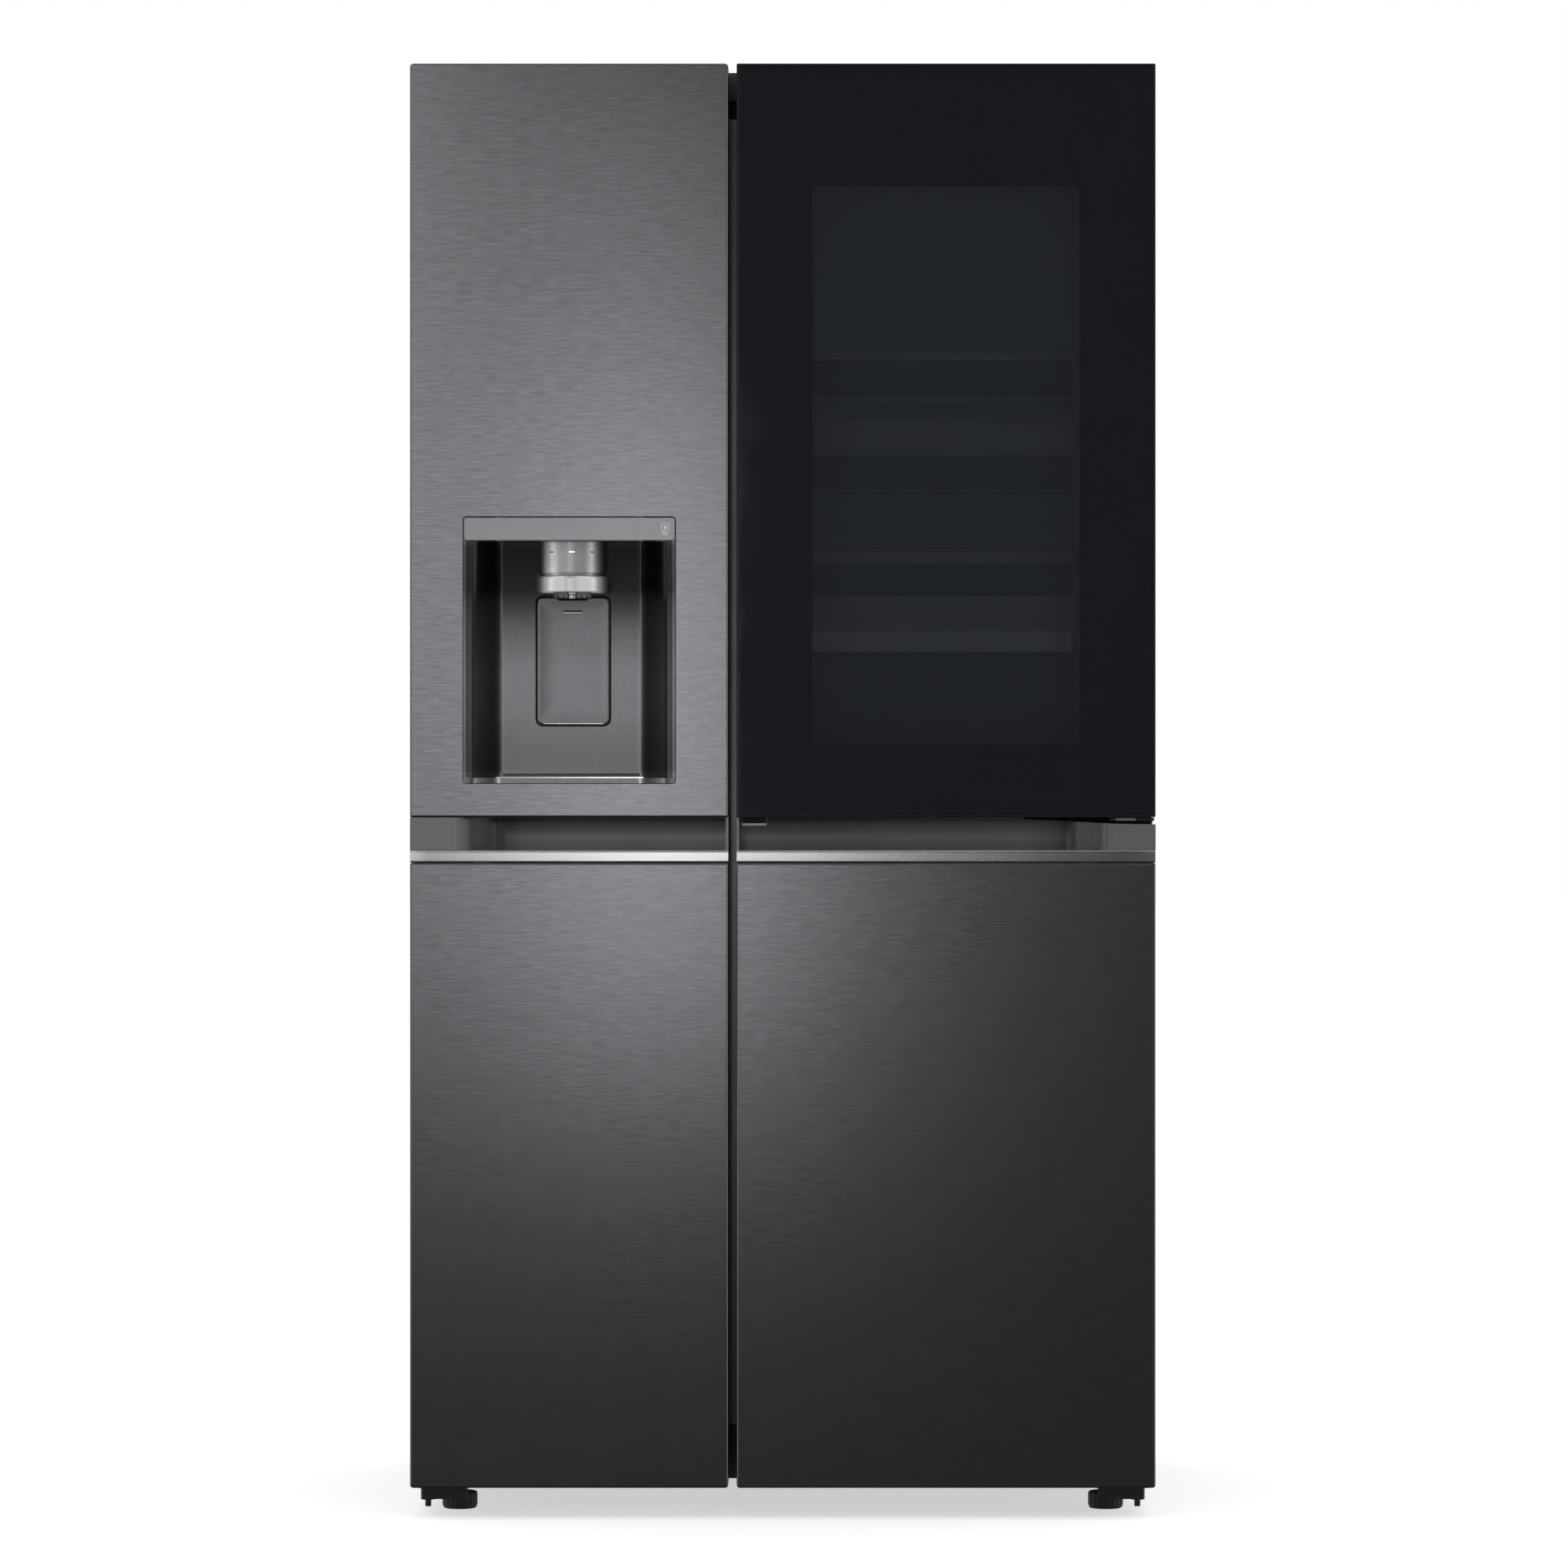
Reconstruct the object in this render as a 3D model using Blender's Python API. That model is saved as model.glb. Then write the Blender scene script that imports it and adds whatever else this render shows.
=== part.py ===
"""American-style side-by-side refrigerator with an ice and water dispenser and a glass door-in-door.

One named object for each piece. Metres, +Z up, the doors face -Y, and the origin is on the floor,
in the middle of the whole appliance's footprint.
"""

import math

import bmesh
import bpy
from mathutils import Vector

# ---------------------------------------------------------------- driving dimensions (metres)
WIDTH, DEPTH, HEIGHT = 0.913, 0.735, 1.790
GAP = 0.0003  # clearance between pieces that rest on each other

XL, XR = -WIDTH / 2, WIDTH / 2
Y_FRONT, Y_REAR = -DEPTH / 2, DEPTH / 2
DOOR_THICK = 0.105
Y_DOOR_BACK = Y_FRONT + DOOR_THICK  # -0.2625, back plane of both doors
SEAL = 0.010  # what the door gasket fills
Y_FLANGE = Y_DOOR_BACK + SEAL  # -0.2525, front plane of the cabinet

DOOR_BOTTOM, DOOR_TOP = 0.0382, 1.7823
DOOR_SPLIT = 0.8594  # lower edge of the upper panels
TRIM_TOP, TRIM_BOTTOM = 0.8186, 0.8044
LOWER_TOP = 0.8032  # upper edge of the lower panels
FREEZER_R, FRIDGE_L = -0.0666, -0.0566  # the 10 mm gap between the doors
SHEET = 0.0012  # door and case steel

CASE_X = 0.4545
CASE_BOTTOM, CASE_TOP = 0.0380, 1.7830
CASE_REAR = 0.3650
FLANGE_W = 0.0300
HEADER_BOTTOM = 1.7481
BASE_TOP = 0.1029
MULLION = (-0.0897, -0.0339)
MULLION_Z = (0.1044, 1.7254)

# compartments (inside faces of the liners)
FREEZER_IN = (-0.404, -0.092)
FRIDGE_IN = (-0.0316, 0.404)
LINER_Z = (0.108, 1.722)
LINER_BACK = 0.300
STEP_Y, STEP_Z = 0.095, 0.300  # the hump over the machine compartment
LINER_T = 0.002
MACHINE_Y, MACHINE_Z = 0.130, 0.270

# hinges
PIVOT_X, PIVOT_Y = 0.438, -0.2925
GLASS_PIVOT_Y = -0.346
PIN_R, PIN_HOLE_R = 0.005, 0.0056

# glass door
GLASS_BACK = -0.3135
RING_FRONT = -0.3075

# dispenser
DISP_X, DISP_Z = (-0.3916, -0.1309), (0.9004, 1.2276)
DISP_CX = -0.26125
RECESS_Z = (0.9041, 1.1976)
RECESS_BACK = -0.2925
TOWER = (-0.2589, -0.3135)
PADDLE_X, PADDLE_Z = (-0.3035, -0.2140), (0.9735, 1.1305)
PADDLE_PIVOT = (-0.2865, 1.124)

# supports
FOOT_X, FOOT_Y, FOOT_R = 0.4015, -0.236, 0.0219
ROLLER_X, ROLLER_Y, ROLLER_R = 0.360, 0.300, 0.018


# ---------------------------------------------------------------- materials
def material(name, rgb, roughness, metallic=0.0, transmission=0.0):
    m = bpy.data.materials.new(name)
    m.use_nodes = True
    b = m.node_tree.nodes["Principled BSDF"]
    b.inputs["Base Color"].default_value = (*rgb, 1.0)
    b.inputs["Roughness"].default_value = roughness
    b.inputs["Metallic"].default_value = metallic
    b.inputs["Transmission Weight"].default_value = transmission
    m.diffuse_color = (*rgb, 1.0)
    return m


# ---------------------------------------------------------------- modelling helpers
def box(lo, hi):
    bm = bmesh.new()
    bmesh.ops.create_cube(bm, size=1.0)
    for v in bm.verts:
        v.co = Vector([(lo[i] + hi[i]) / 2 + v.co[i] * (hi[i] - lo[i]) for i in range(3)])
    return bm


def place(p, t, axis):
    return [(t, p[0], p[1]), (p[0], t, p[1]), (p[0], p[1], t)][axis]


def prism(points, axis, a, b):
    """A closed outline in the plane across axis (0 X, 1 Y, 2 Z), extruded from a to b."""
    bm = bmesh.new()
    low = [bm.verts.new(place(p, a, axis)) for p in points]
    high = [bm.verts.new(place(p, b, axis)) for p in points]
    bm.faces.new(low)
    bm.faces.new(high[::-1])
    n = len(points)
    for i in range(n):
        bm.faces.new((low[i], low[(i + 1) % n], high[(i + 1) % n], high[i]))
    bmesh.ops.recalc_face_normals(bm, faces=bm.faces)
    return bm


def circle(cx, cy, r, n=24):
    return [(cx + r * math.cos(2 * math.pi * (i + 0.5) / n), cy + r * math.sin(2 * math.pi * (i + 0.5) / n)) for i in range(n)]


def cylinder(cx, cy, r, axis, a, b, n=24):
    return prism(circle(cx, cy, r, n), axis, a, b)


def rounded(x0, x1, z0, z1, r, n=4):
    """Outline of a rectangle with round corners."""
    out = []
    for cx, cz, start in ((x1 - r, z1 - r, 0), (x0 + r, z1 - r, 90), (x0 + r, z0 + r, 180), (x1 - r, z0 + r, 270)):
        for i in range(n + 1):
            t = math.radians(start + 90 * i / n)
            out.append((cx + r * math.cos(t), cz + r * math.sin(t)))
    return out


def bevel(bm, width, segments, test):
    edges = [e for e in bm.edges if test((e.verts[0].co + e.verts[1].co) / 2, (e.verts[1].co - e.verts[0].co).normalized())]
    bmesh.ops.bevel(bm, geom=edges, offset=width, segments=segments, profile=0.5, affect="EDGES", clamp_overlap=True)
    return bm


def merged(parts):
    """Several bmeshes as one mesh."""
    out = bmesh.new()
    for bm in parts:
        mesh = bpy.data.meshes.new("part")
        bm.to_mesh(mesh)
        out.from_mesh(mesh)
        bpy.data.meshes.remove(mesh)
        bm.free()
    return out


def empty(name, at, parent=None):
    e = bpy.data.objects.new(name, None)
    e.empty_display_size = 0.05
    bpy.context.scene.collection.objects.link(e)
    e.parent = parent
    e.location = Vector(at) - (parent.matrix_world.translation if parent else Vector((0, 0, 0)))
    bpy.context.view_layer.update()
    return e


def piece(name, bm, mat, parent=None, origin=None):
    """A named object. Its mesh is given in world coordinates, and its origin goes to origin, or to its parent."""
    at = Vector(origin) if origin is not None else (parent.matrix_world.translation.copy() if parent else Vector((0, 0, 0)))
    bmesh.ops.translate(bm, verts=bm.verts, vec=-at)
    mesh = bpy.data.meshes.new(name)
    bm.to_mesh(mesh)
    bm.free()
    mesh.shade_smooth()
    mesh.set_sharp_from_angle(angle=math.radians(35))
    if mat is not None:
        mesh.materials.append(mat)
    o = bpy.data.objects.new(name, mesh)
    bpy.context.scene.collection.objects.link(o)
    o.parent = parent
    o.location = at - (parent.matrix_world.translation if parent else Vector((0, 0, 0)))
    bpy.context.view_layer.update()
    return o


def boolean(obj, operation, parts, overlapping=False):
    """Cuts or joins parts, given in world coordinates, with a Boolean modifier. The tool object is a hidden guide."""
    tool = piece(f"{obj.name}_{operation.lower()}_{len(obj.modifiers)}", merged(parts), None)
    tool.hide_render = True
    tool.display_type = "WIRE"
    m = obj.modifiers.new(operation.title(), "BOOLEAN")
    m.operation = operation
    m.object = tool
    m.solver = "EXACT"
    m.use_self = overlapping
    return obj


def cut(obj, *parts, overlapping=False):
    return boolean(obj, "DIFFERENCE", list(parts), overlapping)


def join(obj, *parts, overlapping=False):
    return boolean(obj, "UNION", list(parts), overlapping)


def ring(x, y, z, width):
    """A rectangular frame lying in the XZ plane: outer box and the cutter of its opening."""
    outer = box((x[0], y[0], z[0]), (x[1], y[1], z[1]))
    inner = box((x[0] + width, y[0] - 0.01, z[0] + width), (x[1] - width, y[1] + 0.01, z[1] - width))
    return outer, inner


# ---------------------------------------------------------------- shapes used more than once
def door_pan(name, x, z, mat, parent, closed_top):
    """Front sheet of a door: a pan with folded sides and one folded end, open at the back and at the other end."""
    bm = box((x[0], Y_FRONT, z[0]), (x[1], -0.2660, z[1]))
    end = z[1] if closed_top else z[0]

    def edge(mid, way):
        front = abs(mid.y - Y_FRONT) < 1e-5
        on_end = abs(mid.z - end) < 1e-5
        side = min(abs(mid.x - x[0]), abs(mid.x - x[1])) < 1e-5
        return (front and side and abs(way.z) > 0.9) or (front and on_end and abs(way.x) > 0.9) or (on_end and side and abs(way.y) > 0.9)

    bevel(bm, 0.003, 3, edge)
    o = piece(name, bm, mat, parent)
    z0, z1 = (z[0] - 0.02, z[1] - SHEET) if closed_top else (z[0] + SHEET, z[1] + 0.02)
    return cut(o, box((x[0] + SHEET, Y_FRONT + SHEET, z0), (x[1] - SHEET, -0.24, z1)))


def liner(name, x, mat):
    """Open-fronted plastic tub with a hump over the machine compartment, a front lip and drawer runners."""
    t = LINER_T
    lip_x = (-CASE_X + FLANGE_W + GAP, x[1] + t) if x[0] < -0.1 else (x[0] - t, CASE_X - FLANGE_W - GAP)
    outer = [(Y_FLANGE, LINER_Z[0] - t), (STEP_Y + t, LINER_Z[0] - t), (STEP_Y + t, STEP_Z - t), (LINER_BACK + t, STEP_Z - t), (LINER_BACK + t, LINER_Z[1] + t), (Y_FLANGE, LINER_Z[1] + t)]
    o = piece(name, prism(outer, 0, x[0] - t, x[1] + t), mat)
    join(o, box((lip_x[0], Y_FLANGE, BASE_TOP + GAP), (lip_x[1], Y_FLANGE + 0.0012, HEADER_BOTTOM - GAP)))
    inner = [(Y_FLANGE - 0.02, LINER_Z[0]), (STEP_Y, LINER_Z[0]), (STEP_Y, STEP_Z), (LINER_BACK, STEP_Z), (LINER_BACK, LINER_Z[1]), (Y_FLANGE - 0.02, LINER_Z[1])]
    hollow = prism(inner, 0, x[0], x[1])
    bevel(hollow, 0.010, 2, lambda mid, way: mid.y > Y_FLANGE and (abs(way.x) > 0.9 or mid.x in (x[0], x[1]) and abs(way.z) > 0.9))
    cut(o, hollow)
    rails = []
    for a, b in ((x[0] - 0.001, x[0] + 0.011), (x[1] - 0.011, x[1] + 0.001)):
        rails.append(box((a, -0.120, STEP_Z + 0.0035), (b, 0.215, STEP_Z + 0.0105)))
    return join(o, *rails)


def tray(name, x, y, z, wall, mat, parent, lip=0.0, front_dip=0.0, origin=None):
    """Open-topped box such as a bin or a drawer."""
    bm = box((x[0], y[0], z[0]), (x[1], y[1], z[1]))
    bevel(bm, 0.006, 2, lambda mid, way: abs(way.z) > 0.9)
    o = piece(name, bm, mat, parent, origin)
    inside = box((x[0] + wall, y[0] + wall, z[0] + wall), (x[1] - wall, y[1] - wall, z[1] + 0.02))
    bevel(inside, 0.004, 2, lambda mid, way: abs(way.z) > 0.9)
    cut(o, inside)
    return o


def coil(name, x, y, z, fins, tubes, mat, foot=None):
    """Finned coil: upright plates across X, and tubes through them."""
    plates = []
    for i in range(fins):
        at = x[0] + (x[1] - x[0]) * i / (fins - 1)
        end = i in (0, fins - 1)
        low = foot if (foot is not None and end) else z[0]
        plates.append(box((at - 0.0006, y[0], low), (at + 0.0006, y[1], z[1])))
    o = piece(name, plates[0], mat)
    join(o, *plates[1:], *[cylinder(ty, tz, 0.004, 0, x[0] - 0.012, x[1] + 0.012, 8) for ty, tz in tubes], overlapping=True)
    return o


def mirrored(points, side):
    """Outline in X and Y for the left side (side -1), or mirrored for the right."""
    return points if side < 0 else [(-x, y) for x, y in points[::-1]]


# ---------------------------------------------------------------- the cabinet
def build_cabinet(mat):
    case = piece("outer_case", bevel(box((-CASE_X, Y_FLANGE, CASE_BOTTOM), (CASE_X, CASE_REAR, CASE_TOP)), 0.002, 2, lambda mid, way: abs(mid.z - CASE_TOP) < 1e-5 and abs(mid.x) > 0.45), mat["case"])
    cut(case, box((-CASE_X + SHEET, Y_FLANGE + SHEET, 0.0), (CASE_X - SHEET, CASE_REAR + 0.05, CASE_TOP - SHEET)))
    cut(case, box((-CASE_X + FLANGE_W, Y_FLANGE - 0.05, 0.0), (CASE_X - FLANGE_W, Y_FLANGE + 0.02, HEADER_BOTTOM)))

    back = piece("back_panel", box((-CASE_X + 0.0015, CASE_REAR + GAP, MACHINE_Z), (CASE_X - 0.0015, CASE_REAR + 0.0013, CASE_TOP - 0.0015)), mat["galvanised"])
    join(back, *[box((cx - 0.055, CASE_REAR + 0.0010, 0.36), (cx + 0.055, Y_REAR, 1.70)) for cx in (-0.29, 0.0, 0.29)])

    base = piece("base_plate", box((-0.4530, Y_FLANGE + 0.0017, CASE_BOTTOM), (0.4530, 0.3590, CASE_BOTTOM + 0.0015)), mat["galvanised"])
    join(base, box((-CASE_X + FLANGE_W + GAP, Y_FLANGE, CASE_BOTTOM), (CASE_X - FLANGE_W - GAP, Y_FLANGE + 0.0020, BASE_TOP)))
    ears = [box((s * ROLLER_X + e - 0.00125, ROLLER_Y - 0.011, ROLLER_R - 0.007), (s * ROLLER_X + e + 0.00125, ROLLER_Y + 0.011, CASE_BOTTOM + 0.001)) for s in (-1, 1) for e in (-0.0137, 0.0137)]
    join(base, *ears)
    join(base, *[cylinder(ROLLER_Y, ROLLER_R, 0.003, 0, s * ROLLER_X - 0.0145, s * ROLLER_X + 0.0145, 16) for s in (-1, 1)])
    cut(base, *[cylinder(s * FOOT_X, FOOT_Y, 0.0075, 2, 0.02, 0.06, 20) for s in (-1, 1)])

    core_outline = [(Y_FLANGE + 0.0024, CASE_BOTTOM + 0.0020), (MACHINE_Y, CASE_BOTTOM + 0.0020), (MACHINE_Y, MACHINE_Z), (CASE_REAR, MACHINE_Z), (CASE_REAR, CASE_TOP - 0.0016), (Y_FLANGE + 0.0024, CASE_TOP - 0.0016)]
    core = piece("insulation_core", prism(core_outline, 0, -0.4530, 0.4530), mat["foam"])
    t = LINER_T + GAP
    hollow = [(Y_FLANGE - 0.02, LINER_Z[0] - t), (STEP_Y + t, LINER_Z[0] - t), (STEP_Y + t, STEP_Z - t), (LINER_BACK + t, STEP_Z - t), (LINER_BACK + t, LINER_Z[1] + t), (Y_FLANGE - 0.02, LINER_Z[1] + t)]
    cut(core, *[prism(hollow, 0, x[0] - t, x[1] + t) for x in (FREEZER_IN, FRIDGE_IN)])
    cut(core, *[cylinder(s * FOOT_X, FOOT_Y, 0.010, 2, 0.02, 0.100, 16) for s in (-1, 1)])

    liner("freezer_liner", FREEZER_IN, mat["liner"])
    liner("fridge_liner", FRIDGE_IN, mat["liner"])
    piece("mullion_cover", bevel(box((MULLION[0], Y_FLANGE, MULLION_Z[0]), (MULLION[1], Y_FLANGE + 0.0014, MULLION_Z[1])), 0.0006, 1, lambda mid, way: mid.y < Y_FLANGE + 0.0001), mat["case"])

    duct = piece("freezer_duct_cover", box((-0.4025, 0.2320, STEP_Z + 0.012), (-0.0935, 0.2345, 1.700)), mat["liner"])
    cut(duct, *[box((cx - 0.030, 0.22, cz), (cx + 0.030, 0.25, cz + 0.006)) for cx in (-0.33, -0.248, -0.166) for cz in (0.66, 0.68, 1.18, 1.20, 1.62, 1.64)])
    coil("evaporator", (-0.380, -0.116), (0.242, 0.290), (0.70, 0.98), 7, [(y, z) for y in (0.266,) for z in (0.74, 0.84, 0.94)], mat["aluminium"])

    # sealed system in the machine compartment
    cx, cy = -0.235, 0.245
    shell = [(0.0, 0.052), (0.060, 0.056), (0.074, 0.075), (0.076, 0.125), (0.076, 0.165), (0.068, 0.195), (0.045, 0.212), (0.0, 0.218)]
    bm = bmesh.new()
    verts = [bm.verts.new((cx + r, cy, z)) for r, z in shell]
    edges = [bm.edges.new((verts[i], verts[i + 1])) for i in range(len(verts) - 1)]
    bmesh.ops.spin(bm, geom=verts + edges, cent=(cx, cy, 0), axis=(0, 0, 1), angle=2 * math.pi, steps=20, use_merge=True)
    bmesh.ops.remove_doubles(bm, verts=bm.verts, dist=0.0001)
    bmesh.ops.recalc_face_normals(bm, faces=bm.faces)
    comp = piece("compressor", bm, mat["black_metal"])
    join(comp, box((cx - 0.095, cy - 0.065, 0.0480), (cx + 0.095, cy + 0.065, 0.0540)))
    join(comp, *[cylinder(cx + sx * 0.080, cy + sy * 0.050, 0.010, 2, CASE_BOTTOM + 0.0018, 0.0490, 12) for sx in (-1, 1) for sy in (-1, 1)])

    cond = coil("condenser", (0.110, 0.330), (0.170, 0.330), (0.060, 0.240), 6, [(y, z) for y in (0.195, 0.305) for z in (0.09, 0.205)], mat["black_metal"], foot=CASE_BOTTOM + 0.0018)
    join(cond, box((0.1085, 0.190, 0.120), (0.1115, 0.310, 0.172)), cylinder(0.250, 0.146, 0.0035, 0, 0.056, 0.111, 12), overlapping=True)

    cover = piece("machine_cover", box((-0.4400, 0.3596, 0.0440), (0.4400, 0.3611, 0.2640)), mat["black_plastic"])
    join(cover, cylinder(0.30, 0.085, 0.010, 1, 0.3605, Y_REAR - 0.0002, 16), cylinder(-0.33, 0.225, 0.0125, 1, 0.3605, Y_REAR - 0.0002, 16))
    slots = [box((cx - 0.038, 0.35, cz), (cx + 0.038, 0.37, cz + 0.006)) for cx in (-0.20, -0.10, 0.0, 0.10) for cz in (0.085, 0.115, 0.145, 0.175, 0.205)]
    cut(cover, *slots, cylinder(0.30, 0.085, 0.0042, 1, 0.35, 0.38, 12), cylinder(-0.33, 0.225, 0.0085, 1, 0.35, 0.38, 12))

    for side, word in ((-1, "left"), (1, "right")):
        plate = [(-0.4505, -0.140), (-0.4505, -0.2905), (-0.4480, -0.3005), (-0.4420, -0.3045), (-0.4340, -0.3045), (-0.4275, -0.3000), (-0.3900, -0.2400), (-0.3900, -0.140)]
        up = piece(f"hinge_upper_{word}", prism(mirrored(plate, side), 2, CASE_TOP + GAP, CASE_TOP + 0.0033), mat["zinc"])
        join(up, cylinder(side * PIVOT_X, PIVOT_Y, PIN_R, 2, 1.7600, CASE_TOP + 0.002, 20))
        outer = [(-0.3115, CASE_TOP + GAP), (-0.3115, 1.7868), (-0.3000, 1.7885), (-0.2525, HEIGHT), (-0.1330, HEIGHT), (-0.1300, 1.7875), (-0.1300, CASE_TOP + GAP)]
        inner = [(-0.3095, CASE_TOP - 0.01), (-0.3095, 1.7867), (-0.2525, 1.7878), (-0.1322, 1.7878), (-0.1322, CASE_TOP - 0.01)]
        xs = sorted((side * 0.4545, side * 0.3800))
        lid = piece(f"hinge_cover_{word}", prism(outer, 0, *xs), mat["black_plastic"])
        cut(lid, prism(inner, 0, xs[0] + 0.0018, xs[1] - 0.0018))

        low = piece(f"hinge_lower_{word}", prism(mirrored([(-0.4540, -0.200), (-0.4540, -0.3000), (-0.4500, -0.3070), (-0.4300, -0.3120), (-0.3900, -0.3120), (-0.3880, -0.3100), (-0.3780, -0.2400), (-0.3780, -0.200)], side), 2, 0.0317, 0.0377), mat["black_metal"])
        apron = sorted((side * 0.4440, side * 0.3890))
        join(low, box((apron[0], -0.3118, 0.0186), (apron[1], -0.3085, 0.0325)), cylinder(side * PIVOT_X, PIVOT_Y, 0.0092, 2, 0.0166, 0.0325, 20), overlapping=True)
        join(low, cylinder(side * PIVOT_X, PIVOT_Y, 0.0038, 2, 0.0080, 0.0170, 16), cylinder(side * PIVOT_X, PIVOT_Y, PIN_R, 2, 0.0370, 0.0590, 20))
        cut(low, cylinder(side * FOOT_X, FOOT_Y, 0.0068, 2, 0.02, 0.05, 20))

    shelf = piece("freezer_shelf", bevel(box((-0.4025, -0.100, 0.900), (-0.0935, 0.228, 0.9055)), 0.0015, 1, lambda mid, way: mid.y < -0.09), mat["clear_glass"])
    join(shelf, bevel(box((-0.4025, -0.112, 0.892), (-0.0935, -0.098, 0.910)), 0.003, 2, lambda mid, way: abs(way.x) > 0.9))
    for name, z in (("fridge_shelf_upper", 1.200), ("fridge_shelf_lower", 0.5120)):
        shelf = piece(name, box((-0.0301, -0.100, z), (0.4025, 0.288, z + 0.0055)), mat["clear_glass"])
        join(shelf, bevel(box((-0.0301, -0.112, z - 0.008), (0.4025, -0.098, z + 0.010)), 0.003, 2, lambda mid, way: abs(way.x) > 0.9))


# ---------------------------------------------------------------- what moves under and in the cabinet
def build_cabinet_movers(mat):
    for side, word in ((-1, "left"), (1, "right")):
        axis = empty(f"foot_{word}_axis", (side * FOOT_X, FOOT_Y, 0.0))
        disc = cylinder(side * FOOT_X, FOOT_Y, FOOT_R, 2, 0.0, 0.0215, 28)
        bevel(disc, 0.0035, 2, lambda mid, way: (mid.z < 1e-5 or mid.z > 0.0214) and abs(way.z) < 0.1)
        foot = piece(f"foot_{word}", disc, mat["black_plastic"], axis)
        join(foot, cylinder(side * FOOT_X, FOOT_Y, 0.0060, 2, 0.0200, 0.0860, 20))

        axis = empty(f"roller_{word}_axis", (side * ROLLER_X, ROLLER_Y, ROLLER_R))
        wheel = cylinder(ROLLER_Y, ROLLER_R, ROLLER_R, 0, side * ROLLER_X - 0.0100, side * ROLLER_X + 0.0100, 32)
        bevel(wheel, 0.002, 2, lambda mid, way: abs(way.x) < 0.1)
        roller = piece(f"roller_{word}", wheel, mat["black_plastic"], axis)
        cut(roller, cylinder(ROLLER_Y, ROLLER_R, 0.0034, 0, side * ROLLER_X - 0.02, side * ROLLER_X + 0.02, 16))

    axis = empty("condenser_fan_axis", (0.060, 0.250, 0.146))
    fan = piece("condenser_fan", cylinder(0.250, 0.146, 0.020, 0, 0.050, 0.078, 20), mat["black_plastic"], axis)
    blades = []
    for i in range(5):
        a = 2 * math.pi * i / 5
        bm = bmesh.new()
        out = (math.cos(a), math.sin(a))
        across = (-math.sin(a), math.cos(a))
        corners = []
        for r, half, lean in ((0.018, 0.008, 0.0065), (0.045, 0.021, 0.011), (0.070, 0.024, 0.009)):
            for s in (-1, 1):
                for dx in (-0.0008, 0.0008):
                    corners.append((0.064 + s * lean + dx, 0.250 + out[0] * r + across[0] * s * half, 0.146 + out[1] * r + across[1] * s * half))
        v = [bm.verts.new(c) for c in corners]
        for k in (0, 4):
            a0, b0, c0, d0, a1, b1, c1, d1 = v[k : k + 8]
            for f in ((a0, a1, c1, c0), (b0, d0, d1, b1), (a0, b0, b1, a1), (c0, c1, d1, d0)):
                bm.faces.new(f)
        bm.faces.new((v[0], v[2], v[3], v[1]))
        bm.faces.new((v[8], v[9], v[11], v[10]))
        bmesh.ops.recalc_face_normals(bm, faces=bm.faces)
        blades.append(bm)
    join(fan, *blades)
    cut(fan, cylinder(0.250, 0.146, 0.0040, 0, 0.0540, 0.09, 12))

    for name, x, y, z in (
        ("freezer_drawer_upper", (-0.3925, -0.1035), (-0.130, 0.222), (0.3120, 0.4980)),
        ("freezer_drawer_lower", (-0.3925, -0.1035), (-0.130, 0.086), (0.1120, 0.2920)),
        ("crisper_drawer_upper", (-0.0200, 0.3925), (-0.130, 0.284), (0.3120, 0.4980)),
        ("crisper_drawer_lower", (-0.0200, 0.3925), (-0.130, 0.086), (0.1120, 0.2920)),
    ):
        axis = empty(f"{name}_axis", ((x[0] + x[1]) / 2, y[0], z[0]))
        drawer = tray(name, x, y, z, 0.003, mat["clear_plastic"], axis)
        mid = (x[0] + x[1]) / 2
        join(drawer, bevel(box((mid - 0.070, y[0] - 0.009, z[1] - 0.030), (mid + 0.070, y[0] + 0.0015, z[1] - 0.020)), 0.002, 1, lambda m, way: abs(way.x) > 0.9 and m.y < y[0]))


# ---------------------------------------------------------------- handle pockets and trims
def channel_plan(x, end, side):
    """Plan of the finger channel: full depth along its run, and a smooth S-curve up to the face at its closed end."""
    run = 0.0640
    curve = []
    for t in (0.0, 0.2, 0.4, 0.6, 0.8, 1.0):
        curve.append((end + side * run * t, Y_FRONT + 0.0010 + 0.0485 * t * t * (3 - 2 * t)))
    far = x[1] - 0.0034 if side > 0 else x[0] + 0.0034
    return [(end, -0.40)] + curve + [(far, -0.3180), (far, -0.40)]


def pocket(name, x, end, side, roof, mat, parent):
    """Finger channel between the upper and the lower panel of a door. end is where its closed end starts, side the way it deepens."""
    grip = sorted((end + side * 0.0595, x[1] - 0.0034 if side > 0 else x[0] + 0.0034))
    body = piece(name, box((x[0], Y_FRONT + 0.0010, LOWER_TOP + GAP), (x[1], -0.3000, roof)), mat, parent)
    join(body, box((max(grip[0] - 0.003, x[0] + 0.0018), -0.3552, 0.7720), (min(grip[1] + 0.003, x[1] - 0.0018), -0.3130, LOWER_TOP + 0.002)))
    join(body, box((x[0], -0.3010, LOWER_TOP + GAP), (x[0] + 0.0012, -0.2660, roof)), box((x[1] - 0.0012, -0.3010, LOWER_TOP + GAP), (x[1], -0.2660, roof)))
    cut(body, box((x[0] - 0.01, -0.40, 0.79), (x[1] + 0.01, -0.3552, TRIM_TOP + GAP)))
    cut(body, prism(channel_plan(x, end, side), 2, TRIM_TOP - 0.002, roof - 0.0032))
    cut(body, box((grip[0], -0.3520, 0.7750), (grip[1], -0.3180, TRIM_TOP + 0.001)))
    return body


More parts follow.
